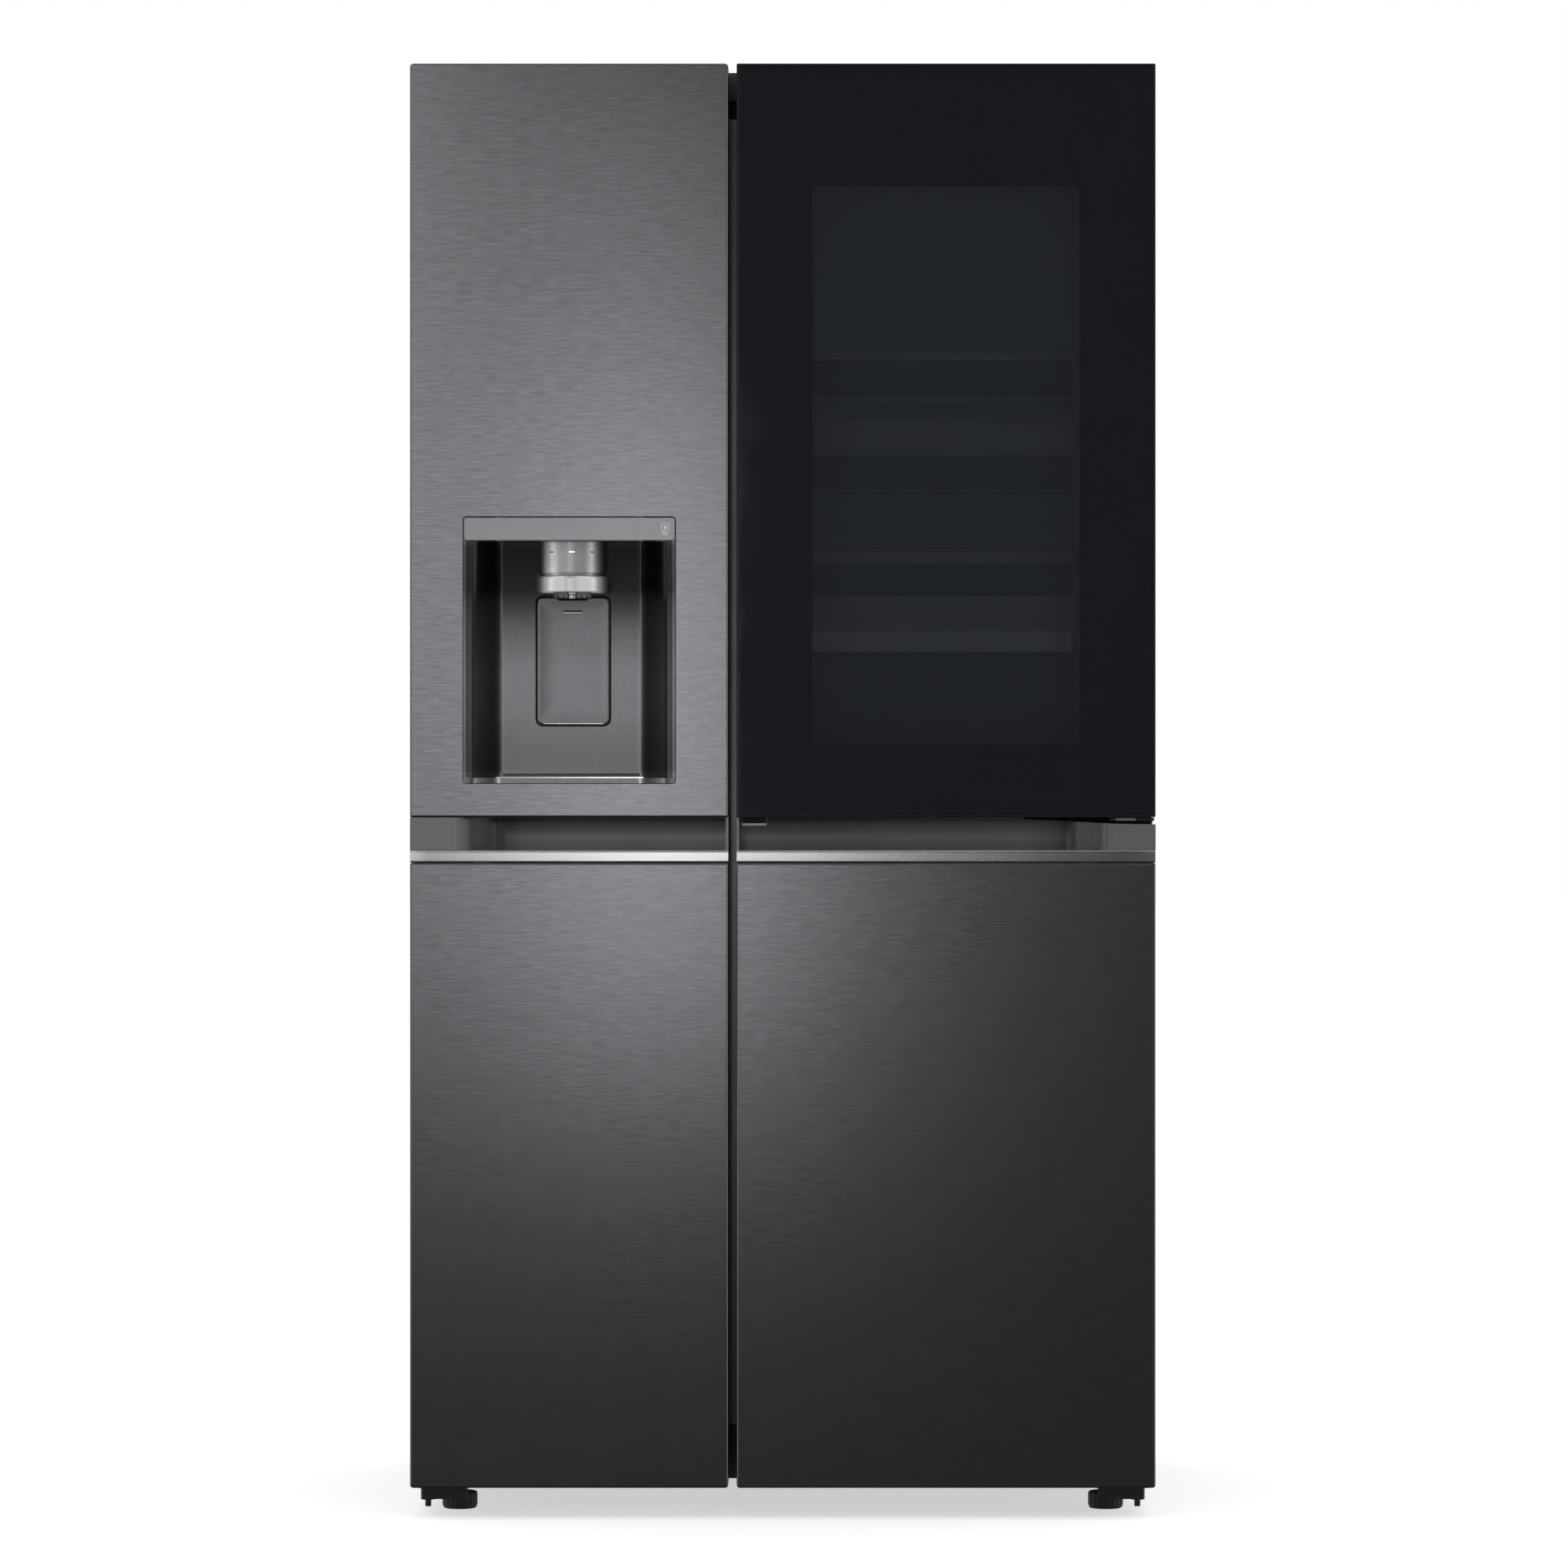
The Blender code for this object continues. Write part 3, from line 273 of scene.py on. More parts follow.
# bright ring: the X ramp paints dark falloff at its ends and highlights either side of its front
RING_PAINTED_LIGHT = brushed("ring_brushed_bright_painted_light", (0.93, 0.93, 0.93), 0.28, 0.03, (2.0, 2.0, 500.0), 0.62, 0.02, 0.01, 0.28, (("X", ((-0.3045, 0.10), (-0.2985, 0.28), (-0.2955, 0.62), (-0.2920, 1.04), (-0.2700, 1.05), (-0.2660, 0.80), (-0.2610, 0.68), (-0.2560, 0.86), (-0.2515, 1.04), (-0.2320, 1.05), (-0.2270, 0.92), (-0.2230, 0.60), (-0.2190, 0.24), (-0.2150, 0.08))),))
BRIGHT = brushed("bright_edge", (0.90, 0.90, 0.90), 0.12, 0.03, (4.0, 4.0, 300.0), 1.0, 0.01)
# finger channel plastic: the Y ramp paints shade deeper in the channel, the X ramp paints highlights and shade across
# its curved ends and along its length
POCKET_PAINTED_LIGHT = moulded("pocket_graphite_painted_light", (0.188, 0.189, 0.200), 0.330, 0.84, 1500.0, 0.012, 0.03, (("Y", ((-0.3640, 1.0), (-0.3450, 0.72), (-0.3200, 0.80))), ("X", ((-0.4168, 1.32), (-0.4038, 1.33), (-0.3999, 1.55), (-0.3959, 1.65), (-0.3919, 1.36), (-0.3890, 0.97), (-0.3870, 0.82), (-0.3843, 0.75), (-0.3822, 0.85), (-0.3803, 1.10), (-0.3774, 1.62), (-0.3745, 1.90), (-0.3707, 2.07), (-0.3663, 2.07), (-0.3625, 1.75), (-0.3586, 1.22), (-0.3557, 0.80), (-0.3528, 0.66), (-0.3498, 0.75), (-0.3468, 0.98), (-0.3379, 0.86), (-0.3318, 0.90), (-0.3239, 1.07), (-0.3039, 1.20), (-0.2640, 1.36), (-0.1892, 1.37), (-0.0843, 1.48), (-0.0442, 1.34), (0.0005, 1.12), (0.0681, 1.08), (0.1352, 1.24), (0.2250, 1.33), (0.2949, 1.50), (0.3249, 1.26), (0.3408, 1.00), (0.3478, 0.64), (0.3518, 0.74), (0.3557, 0.88), (0.3597, 0.72), (0.3626, 1.05), (0.3664, 2.00), (0.3701, 2.50), (0.3767, 2.58), (0.3805, 2.22), (0.3843, 1.80), (0.3879, 1.18), (0.3909, 0.76), (0.3949, 0.97), (0.4068, 1.14), (0.4327, 1.17)))))
# dispenser recess plastic: the X ramp paints shade and highlights across the side walls and their fillets, the Z ramp
# paints shade towards the top under the control plate and a light band at the floor fillet
DISPENSER_PAINTED_LIGHT = moulded("dispenser_graphite_painted_light", (0.184, 0.181, 0.193), 0.225, 0.97, 1500.0, 0.012, 0.03, (("X", ((0.0800, 1.38), (0.0812, 1.40), (0.0832, 1.45), (0.0846, 2.0), (0.0858, 3.2), (0.0871, 3.4), (0.0890, 1.5), (0.0910, 0.75), (0.0945, 0.36), (0.0972, 0.44), (0.1008, 0.52), (0.1045, 0.64), (0.1085, 0.84), (0.1127, 1.25), (0.1145, 1.75), (0.1162, 1.6), (0.1180, 0.62), (0.1198, 0.40), (0.1219, 0.72), (0.1245, 1.1), (0.1260, 1.15)), -0.26125, True), ("Z", ((0.9100, 1.05), (0.9140, 1.2), (0.9155, 0.80), (0.9462, 0.85), (0.9913, 1.05), (1.0365, 1.08), (1.0705, 0.93), (1.0936, 0.87), (1.1157, 0.73), (1.1277, 0.61), (1.1387, 0.39), (1.1618, 0.46), (1.1900, 0.47), (1.1990, 0.85)))))
HEADER = moulded("header_satin_grey", (0.350, 0.346, 0.366), 0.205, 0.96, 1500.0, 0.012, 0.02)
# tower plastic: the X ramp paints two highlights either side of its front and dark falloff towards its sides
TOWER_PAINTED_LIGHT = moulded("tower_satin_grey_painted_light", (0.440, 0.436, 0.455), 0.300, 0.62, 1500.0, 0.012, 0.02, (("X", ((-0.2985, 0.15), (-0.2950, 0.45), (-0.2906, 1.7), (-0.2876, 2.1), (-0.2797, 2.0), (-0.2737, 1.3), (-0.2658, 1.10), (-0.2538, 1.02), (-0.2459, 0.92), (-0.2420, 1.0), (-0.2389, 1.4), (-0.2350, 1.8), (-0.2310, 1.5), (-0.2270, 0.8), (-0.2230, 0.30), (-0.2200, 0.12), (-0.2160, 0.06))),))
CASE = painted("case_graphite_paint", (0.050, 0.051, 0.054), 0.42, 0.25, 240.0, 0.10)
MULLION = painted("mullion_grey_paint", (0.140, 0.142, 0.152), 0.24, 0.85, 300.0, 0.05)
BLACK = moulded("black_textured_plastic", (0.0115, 0.0118, 0.0125), 0.48, 0.0, 800.0, 0.16, 0.15)
BLACK_GLOSS = moulded("black_smooth_plastic", (0.0080, 0.0082, 0.0092), 0.22, 0.0, 500.0, 0.03, 0.08)
# near black for the dark bars that paint shade in the paddle's slot and groove and the shadow under the chute
SLOT_PAINTED_SHADE = moulded("near_black_painted_shade", (0.0040, 0.0040, 0.0042), 0.60, 0.0, 500.0, 0.10, 0.15)
BLACK_METAL = painted("black_painted_steel", (0.0125, 0.0127, 0.0135), 0.38, 0.1, 320.0, 0.10)
ZINC = brushed("zinc_plated_steel", (0.50, 0.51, 0.52), 0.34, 0.08, (60.0, 60.0, 60.0), 1.0, 0.04)
GALV = galvanised("galvanised_sheet", (0.46, 0.47, 0.48), 0.42)
ALU = brushed("fin_aluminium", (0.72, 0.73, 0.74), 0.32, 0.05, (40.0, 40.0, 400.0))
COPPER = brushed("copper_tube", (0.72, 0.34, 0.20), 0.30, 0.08, (200.0, 200.0, 200.0), 1.0, 0.03)
# near-black foam: painted shade where the cores show through gaps
FOAM_PAINTED_SHADE = foam_material("foam_core_painted_shade", (0.0090, 0.0090, 0.0095))
LINER = moulded("liner_white_plastic", (0.76, 0.78, 0.79), 0.32, 0.0, 260.0, 0.04, 0.02)
WHITE_TRIM = moulded("shelf_white_trim", (0.74, 0.76, 0.77), 0.28, 0.0, 600.0, 0.03, 0.02)
GREY_TRIM = moulded("bin_grey_trim", (0.42, 0.43, 0.44), 0.28, 0.6, 700.0, 0.03, 0.03)
GASKET = rubber_material("gasket_grey_rubber", (0.125, 0.127, 0.132), 0.72)
RUBBER = rubber_material("black_rubber", (0.020, 0.020, 0.021), 0.80)
GLASS_DARK = clear("tinted_front_glass", (0.0113, 0.0121, 0.0158), 0.55, 0.03, 0.001)
GLASS_CLEAR = clear("clear_tempered_glass", (0.60, 0.78, 0.74), 0.10, 0.05, 0.01)
GLASS_EDGE = clear("glass_green_edge", (0.30, 0.52, 0.46), 0.75, 0.12, 0.02)
BIN_CLEAR = clear("clear_bin_plastic", (0.80, 0.85, 0.87), 0.34, 0.12, 0.03)
BIN_FROST = clear("frosted_drawer_plastic", (0.78, 0.83, 0.86), 0.48, 0.22, 0.05)
ICE_CLEAR = clear("ice_bank_plastic", (0.62, 0.70, 0.75), 0.55, 0.20, 0.04)
CHUTE = clear("chute_smoked_plastic", (0.19, 0.195, 0.205), 0.60, 0.20, 0.04)
LAMP = glowing("lamp_diffuser", (0.80, 1.0, 0.95), 1.70)
BAND_DARK = clear("bin_smoked_band", (0.16, 0.20, 0.20), 0.24, 0.10, 0.01)
BAND_LIGHT = clear("bin_pale_band", (0.92, 1.0, 1.0), 0.50, 0.12, 0.01)
LED = glowing("indicator_white", (1.0, 1.0, 1.0), 0.85)
MARK = moulded("printed_mark_grey", (0.66, 0.66, 0.68), 0.45, 0.2, 400.0, 0.02, 0.03)
MARK_CUP = moulded("printed_mark_soft_grey", (0.40, 0.40, 0.41), 0.45, 0.2, 400.0, 0.02, 0.03)
MARK_DARK = moulded("printed_mark_dark", (0.012, 0.012, 0.013), 0.45, 0.0, 400.0, 0.02, 0.05)

# ------------------------------------------------------------------------------------------ shape helpers


def cleaned(bm, dist=1e-6):
    bmesh.ops.remove_doubles(bm, verts=bm.verts, dist=dist)
    bmesh.ops.recalc_face_normals(bm, faces=bm.faces)
    return bm


def make(name, bm, material, body=None, smooth=38.0, edge=0.0, segments=2, stands_for=(), weighted=True):
    """A finished piece: its mesh in the row frame, shading, edge rounding, material and body."""
    mesh = bpy.data.meshes.new(name)
    cleaned(bm)
    bm.to_mesh(mesh)
    bm.free()
    mesh.materials.append(material)
    mesh.shade_smooth()
    mesh.set_sharp_from_angle(angle=math.radians(smooth))
    o = bpy.data.objects.new(name, mesh)
    bpy.context.scene.collection.objects.link(o)
    if edge > 0:
        m = o.modifiers.new("edge", "BEVEL")
        m.width = edge
        m.segments = segments
        m.limit_method = "ANGLE"
        m.angle_limit = math.radians(38)
        m.use_clamp_overlap = True
        m.miter_outer = "MITER_ARC"
    if weighted:
        w = o.modifiers.new("weighted", "WEIGHTED_NORMAL")
        w.keep_sharp = True
    if body:
        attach(o, body)
    if stands_for:
        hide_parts(*stands_for)
    return o


def box(lo, hi):
    bm = bmesh.new()
    bmesh.ops.create_cube(bm, size=1.0)
    for v in bm.verts:
        v.co = Vector([(lo[i] + hi[i]) / 2 + v.co[i] * (hi[i] - lo[i]) for i in range(3)])
    return bm


def soft_box(lo, hi, r, segments=3):
    """A block with all its edges rounded."""
    bm = box(lo, hi)
    bmesh.ops.bevel(bm, geom=list(bm.edges), offset=r, segments=segments, profile=0.5, affect="EDGES", clamp_overlap=True)
    return bm


def place(p, t, axis):
    return [(t, p[0], p[1]), (p[0], t, p[1]), (p[0], p[1], t)][axis]


def prism(points, axis, a, b):
    bm = bmesh.new()
    low = [bm.verts.new(place(p, a, axis)) for p in points]
    high = [bm.verts.new(place(p, b, axis)) for p in points]
    bm.faces.new(low)
    bm.faces.new(high[::-1])
    n = len(points)
    for i in range(n):
        bm.faces.new((low[i], low[(i + 1) % n], high[(i + 1) % n], high[i]))
    bmesh.ops.recalc_face_normals(bm, faces=bm.faces)
    return bm


def circle(cx, cy, r, n=48):
    return [(cx + r * math.cos(2 * math.pi * i / n), cy + r * math.sin(2 * math.pi * i / n)) for i in range(n)]


def cylinder(cx, cy, r, axis, a, b, n=48):
    return prism(circle(cx, cy, r, n), axis, a, b)


def rounded(x0, x1, z0, z1, r, n=6):
    """Outline of a rectangle with round corners. r is one radius, or four: top right, top left, bottom left, bottom right."""
    rr = r if isinstance(r, (tuple, list)) else (r, r, r, r)
    out = []
    for (sx, sz, start), q in zip(((1, 1, 0), (-1, 1, 90), (-1, -1, 180), (1, -1, 270)), rr):
        q = max(q, 1e-5)
        cx = (x1 - q) if sx > 0 else (x0 + q)
        cz = (z1 - q) if sz > 0 else (z0 + q)
        for i in range(n + 1):
            t = math.radians(start + 90 * i / n)
            out.append((cx + q * math.cos(t), cz + q * math.sin(t)))
    return out


def loft(loops, cap_a=True, cap_b=True, closed=False):
    """Skins a list of loops, each the same number of points, into one surface."""
    bm = bmesh.new()
    rows = [[bm.verts.new(p) for p in loop] for loop in loops]
    n = len(loops[0])
    count = len(rows)
    for k in range(count if closed else count - 1):
        a, b = rows[k], rows[(k + 1) % count]
        for i in range(n):
            j = (i + 1) % n
            bm.faces.new((a[i], a[j], b[j], b[i]))
    if not closed:
        if cap_a:
            bm.faces.new(rows[0][::-1])
        if cap_b:
            bm.faces.new(rows[-1])
    bmesh.ops.recalc_face_normals(bm, faces=bm.faces)
    return bm


def lathe(profile, centre, axis=2, n=64):
    """Turns a closed or open profile of (radius, height) about an axis through centre; ends on the axis are capped."""
    loops = []
    for r, h in profile:
        pts = []
        for i in range(n):
            t = 2 * math.pi * i / n
            u, v = max(r, 1e-5) * math.cos(t), max(r, 1e-5) * math.sin(t)
            p = place((u, v), h, axis)
            pts.append(Vector(p) + Vector(centre))
        loops.append(pts)
    return loft(loops)


def ring_sweep(x, z, r, profile, n=6, least=0.0004):
    """A closed cross-section of (inset, y) points swept round a rectangle with round corners, standing in XZ."""
    loops = []
    for d, y in profile:
        loops.append([(px, y, pz) for px, pz in rounded(x[0] + d, x[1] - d, z[0] + d, z[1] - d, max(r - d, least), n)])
    return loft(loops, closed=True)


def tube(points, r, n=12, caps=True):
    """A round tube along points."""
    loops = []
    pts = [Vector(p) for p in points]
    up = Vector((0.0, 0.0, 1.0))
    first = (pts[1] - pts[0]).normalized()
    side = first.cross(up)
    if side.length < 0.1:
        side = first.cross(Vector((1.0, 0.0, 0.0)))
    side.normalize()
    for i, p in enumerate(pts):
        a = pts[max(0, i - 1)]
        b = pts[min(len(pts) - 1, i + 1)]
        d = (b - a).normalized()
        side = (side - d * side.dot(d)).normalized()
        up2 = d.cross(side)
        loops.append([p + side * (r * math.cos(2 * math.pi * k / n)) + up2 * (r * math.sin(2 * math.pi * k / n)) for k in range(n)])
    return loft(loops, caps, caps)


def smooth_path(points, steps=8):
    """Catmull-Rom curve through points."""
    pts = [Vector(p) for p in points]
    out = []
    for i in range(len(pts) - 1):
        p0, p1, p2, p3 = pts[max(0, i - 1)], pts[i], pts[i + 1], pts[min(len(pts) - 1, i + 2)]
        for k in range(steps):
            t = k / steps
            out.append(0.5 * ((2 * p1) + (p2 - p0) * t + (2 * p0 - 5 * p1 + 4 * p2 - p3) * t * t + (3 * p1 - p0 - 3 * p2 + p3) * t * t * t))
    out.append(pts[-1])
    return out


def joined(*bms):
    out = bmesh.new()
    for bm in bms:
        mesh = bpy.data.meshes.new("tmp")
        bm.to_mesh(mesh)
        out.from_mesh(mesh)
        bpy.data.meshes.remove(mesh)
        bm.free()
    return out


def solid_op(base, operation, *tools, self_overlap=False):
    """Boolean of bmeshes, returned as a new bmesh."""

    def temp(bm, name):
        mesh = bpy.data.meshes.new(name)
        bm.to_mesh(mesh)
        bm.free()
        o = bpy.data.objects.new(name, mesh)
        bpy.context.scene.collection.objects.link(o)
        return o

    a = temp(base, "op_base")
    b = temp(joined(*tools), "op_tool")
    m = a.modifiers.new("op", "BOOLEAN")
    m.operation = operation
    m.solver = "EXACT"
    m.use_self = self_overlap
    m.object = b
    bpy.context.view_layer.update()
    mesh = bpy.data.meshes.new_from_object(a.evaluated_get(bpy.context.evaluated_depsgraph_get()))
    out = bmesh.new()
    out.from_mesh(mesh)
    for o in (a, b):
        data = o.data
        bpy.data.objects.remove(o)
        bpy.data.meshes.remove(data)
    bpy.data.meshes.remove(mesh)
    return out


def minus(base, *tools, self_overlap=False):
    return solid_op(base, "DIFFERENCE", *tools, self_overlap=self_overlap)


def plus(base, *tools, self_overlap=True):
    return solid_op(base, "UNION", *tools, self_overlap=self_overlap)


def finish_cad(names, material, edge=0.0, slot=None):
    """A CAD node that stays: its own material and, where wanted, rounded edges."""
    for name in names:
        o = NODES[name]
        o.data.materials.clear()
        o.data.materials.append(material)
        if edge > 0:
            w = o.modifiers.new("weld", "WELD")
            w.merge_threshold = 0.00001
            m = o.modifiers.new("edge", "BEVEL")
            m.width = edge
            m.segments = 2
            m.limit_method = "ANGLE"
            m.angle_limit = math.radians(50)
            m.use_clamp_overlap = True


def smootherstep(t):
    t = min(1.0, max(0.0, t))
    return t * t * t * (t * (6.0 * t - 15.0) + 10.0)


def smoothstep(t):
    t = max(0.0, min(1.0, t))
    return t * t * (3 - 2 * t)


# ------------------------------------------------------------------------------------------ door panels


def steel_pan(name, node, radii, body, cutouts=(), wrap=0.0024):
    """Folded steel front of a door: flat face, rounded folds, side walls, and a sheet's thickness."""
    lo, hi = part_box(node)
    x, z = (lo.x, hi.x), (lo.z, hi.z)
    steps = 5
    loops = []

    def outline(inset, y):
        rr = tuple(max(r - inset, 0.0004) for r in radii)
        return [(px, y, pz) for px, pz in rounded(x[0] + inset, x[1] - inset, z[0] + inset, z[1] - inset, rr, 7)]

    loops.append(outline(0.0012, hi.y))
    loops.append(outline(0.0002, hi.y))
    loops.append(outline(0.0, hi.y - 0.0003))
    for i in range(steps + 1):
        t = math.pi / 2 * i / steps
        loops.append(outline(wrap * (1 - math.cos(t)), lo.y + wrap * (1 - math.sin(t))))
    front = loft(loops, cap_a=False, cap_b=True)
    inner = [outline(0.0012, hi.y), outline(0.0012, lo.y + 0.0030), outline(0.0030, lo.y + 0.0013)]
    back = loft(inner, cap_a=False, cap_b=True)
    bmesh.ops.reverse_faces(back, faces=back.faces)
    bm = joined(front, back)
    bmesh.ops.remove_doubles(bm, verts=bm.verts, dist=1e-6)
    if cutouts:
        bm = minus(bm, *cutouts)
    o = make(name, bm, STEEL, body, 30.0, 0.0, 2, (node,))
    return o


def door_front(node, body, closed_top, extra=()):
    """One door's steel front, open at the handle side, where it is folded back only a few millimetres."""
    lo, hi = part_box(node)
    big, small = 0.0042, 0.0012
    radii = (big, big, small, small) if closed_top else (small, small, big, big)
    cuts = []
    if closed_top:
        cuts.append(box((lo.x + 0.0014, lo.y + 0.009, lo.z - 0.01), (hi.x - 0.0014, hi.y + 0.01, lo.z + 0.0020)))
    else:
        cuts.append(box((lo.x + 0.0014, lo.y + 0.009, hi.z - 0.0020), (hi.x - 0.0014, hi.y + 0.01, hi.z + 0.01)))
    return steel_pan(node.replace("front", "steel_front"), node, radii, body, cuts + list(extra))


PIVOT_X, PIVOT_Y = 0.438, -0.2925
cav_lo, cav_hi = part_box("dispenser_cavity")
dispenser_hole = prism(rounded(cav_lo.x - 0.0003, cav_hi.x + 0.0003, cav_lo.z - 0.0003, cav_hi.z + 0.0003, 0.0052, 5), 1, -0.40, -0.30)
door_front("freezer_front_upper", "freezer_door", True, [dispenser_hole, cylinder(-PIVOT_X, PIVOT_Y, 0.0056, 2, 1.765, 1.80, 32)])
door_front("freezer_front_lower", "freezer_door", False, [cylinder(-PIVOT_X, PIVOT_Y, 0.0056, 2, 0.02, 0.06, 32)])
door_front("fridge_front_lower", "fridge_door", False, [cylinder(PIVOT_X, PIVOT_Y, 0.0056, 2, 0.02, 0.06, 32)])

# ------------------------------------------------------------------------------------------ handle channels and trims
TRIM_TOP, TRIM_BOTTOM = 0.8186, 0.8044


def channel_section(f, y_face, top, foot):
    """Front line of the finger channel, top to bottom, for a depth share f from 0 to 1."""
    deep = [
        (-0.3640, top - 0.0004), (-0.3600, top - 0.0006), (-0.3500, top - 0.0008), (-0.3380, top - 0.0010), (-0.3290, top - 0.0012),
        (-0.3236, top - 0.0020), (-0.3207, top - 0.0044), (-0.3195, top - 0.0090), (-0.3190, top - 0.0165), (-0.3188, top - 0.0205),
        (-0.3188, top - 0.0245), (-0.3191, top - 0.0285), (-0.3196, top - 0.0325), (-0.3203, top - 0.0370),
    ]
    low = [(-0.3214, 0.8150), (-0.3224, 0.8050), (-0.3230, 0.7930), (-0.3234, 0.7840), (-0.3262, 0.7782), (-0.3320, 0.7756), (-0.3420, 0.7752), (-0.3490, 0.7770), (-0.3518, 0.7820), (-0.3520, 0.7900), (-0.3520, 0.8040), (-0.3520, 0.8178), (-0.3528, 0.8186), (-0.3552, 0.8186)]
    out = [(y_face, top)]
    for y, z in deep:
        out.append((y_face + (y - y_face) * f, z))
    z_flat = [TRIM_TOP + 0.0004] * 3 + [TRIM_TOP + 0.0004] * (len(low) - 3)
    for i, (y, z) in enumerate(low):
        yf = y_face + (-0.3552 - y_face) * min(1.0, i / 3.0)
        out.append((yf + (y - yf) * f, z_flat[i] + (z - z_flat[i]) * f))
    out.append((-0.3552, 0.8180))
    out.append((-0.3552, 0.8036 + (0.7722 - 0.8036) * min(1.0, f * 1.0) if f > 0.0 else 0.8036))
    return out


def handle_channel(name, node, share, body, cuts=(), top_drop=0.0):
    lo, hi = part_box(node)
    top = hi.z
    stations = []
    x0, x1 = lo.x, hi.x
    xs = [x0 + (x1 - x0) * i / 150 for i in range(151)]
    loops = []
    y_face = lo.y

    def loop(x, f):
        front = channel_section(f, y_face, top, 0.0)
        low_z = 0.8036 + (0.7722 - 0.8036) * f
        back = [(-0.3132, low_z), (-0.3132, 0.8036 if f < 0.02 else 0.8037), (-0.3003, 0.8037), (-0.3003, top)]
        return [(x, y, z) for y, z in front + back]

    for x, f in share(xs, x0, x1):
        loops.append(loop(x, f))
    bm = loft(loops)
    if cuts:
        bm = minus(bm, *cuts)
    return make(name, bm, POCKET_PAINTED_LIGHT, body, 40.0, 0.0, 2, (node,))


def freezer_share(xs, x0, x1):
    out = []
    for x in xs:
        if x > x1 - 0.0036:
            continue
        out.append((x, smootherstep((x + 0.4030) / 0.0640)))
    out += [(x1 - 0.0035, 1.0), (x1 - 0.0033, 0.0), (x1, 0.0)]
    return out


def fridge_share(xs, x0, x1):
    out = [(x0, 0.0), (x0 + 0.0033, 0.0), (x0 + 0.0035, 1.0)]
    for x in xs:
        if x < x0 + 0.0036:
            continue
        out.append((x, max(1.0 - smootherstep((x - 0.3460) / 0.0640), 0.056 * (1.0 - (x - 0.3950) / 0.0615) if x > 0.3950 else 0.0)))
    return out


handle_channel("freezer_finger_channel", "freezer_handle_pocket", freezer_share, "freezer_door")
wedge = prism([(0.2945, 0.8600), (0.2945, 0.8575), (0.4040, 0.8515), (0.4700, 0.8505), (0.4700, 0.8600)], 1, -0.40, -0.29)
lever_slot = box((-0.0510, -0.40, 0.8462), (-0.0180, -0.3200, 0.87))
handle_channel("fridge_finger_channel", "fridge_handle_pocket", fridge_share, "fridge_door", [wedge, lever_slot])
plate_face = [[(x, y, z) for x, z in rounded(0.4080 + d, 0.4325 - d, 0.8552 + d, 0.8584 - d, 0.0008, 4)] for d, y in ((0.0, -0.3556), (0.0, -0.3562), (0.0002, -0.3564))]
make("glass_hinge_plate_face", loft(plate_face), ZINC, "fridge_door", 30.0)
make("glass_hinge_shroud", soft_box((0.4090, -0.3060, 0.8512), (0.4560, -0.3012, 0.8570), 0.0006, 1), BLACK, "fridge_door", 35.0)


def handle_trim(name, node, body):
    """Satin bar along the front edge of the finger channel, with a raised bead on its top edge and a fine groove."""
    lo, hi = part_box(node)
    y, yb, zb, zt = lo.y, hi.y, lo.z, hi.z
    prof = [
        (yb, zb), (y + 0.0014, zb), (y + 0.0006, zb + 0.0003), (y + 0.0001, zb + 0.0009), (y, zb + 0.0016),
        (y, zt - 0.0026), (y + 0.00035, zt - 0.0023), (y + 0.00035, zt - 0.0020), (y, zt - 0.0017), (y + 0.0001, zt - 0.0009), (y + 0.0006, zt - 0.0003), (y + 0.0014, zt), (yb, zt),
    ]
    x0, x1 = lo.x, hi.x
    loops = []
    for x, d in ((x0, 0.0006), (x0 + 0.0006, 0.0), (x1 - 0.0006, 0.0), (x1, 0.0006)):
        loops.append([(x, max(py, y + d), min(max(pz, zb + d * 0.5), zt - d * 0.5)) for py, pz in prof])
    return make(name, loft(loops), GRIP_PAINTED_REFLECTION, body, 25.0, 0.0, 2, (node,))


handle_trim("freezer_grip_trim", "freezer_handle_trim", "freezer_door")
handle_trim("fridge_grip_trim", "fridge_handle_trim", "fridge_door")

# ------------------------------------------------------------------------------------------ dispenser
CX = -0.26125
Y_FRONT = cav_lo.y
RZ0, RZ1 = 0.9075, 1.1976
BACK_Y = -0.2925


def wall_plan():
    """Plan of one recess wall from the front rim inwards: a soft rim, a straight wall, and a fillet into the flat back."""
    turn, length, lam, fillet, n = 1.18246, 0.0890, 0.0085, 0.0030, 900
    x = y = 0.0
    ds = length / n
    line = [(0.0, 0.0)]
    for i in range(n):
        u = (i + 0.5) * ds
        phi = turn * (1.0 - math.exp(-u / lam)) * (1.0 - min(1.0, max(0.0, (u - (length - fillet * turn)) / (fillet * turn))))
        x += math.cos(phi) * ds
        y += math.sin(phi) * ds
        line.append((x, y))
    return [(0.1272 - px * 0.0427 / x, -0.3675 + py * 0.0750 / y) for px, py in line]


WALL = wall_plan()
WALL_AT = [0, 12, 24, 36, 50, 65, 80, 100, 125, 155, 200, 260, 340, 430, 520, 610, 700, 780, 840, 866, 874, 882, 891, 900]


def recess_loop(z):
    """Plan of the recess at height z. The back leans forward towards the top, and the floor end is rounded."""
    up = max(0.0, (z - 1.045) / (RZ1 - 1.045))
    lean = 0.0128 * up * up
    low = max(0.0, (0.9145 - z) / (0.9145 - RZ0))
    lift = 0.0030 * low * low
    pts = []
    n = len(WALL_AT) - 1
    for i in range(n + 1):
        w, y = WALL[WALL_AT[i]]
        share = (y + 0.3675) / 0.075
        pts.append((CX + w, y - (lean + lift) * share, z))
    for i in range(n, -1, -1):
        w, y = WALL[WALL_AT[i]]
        share = (y + 0.3675) / 0.075
        pts.append((CX - w, y - (lean + lift) * share, z))
    return pts


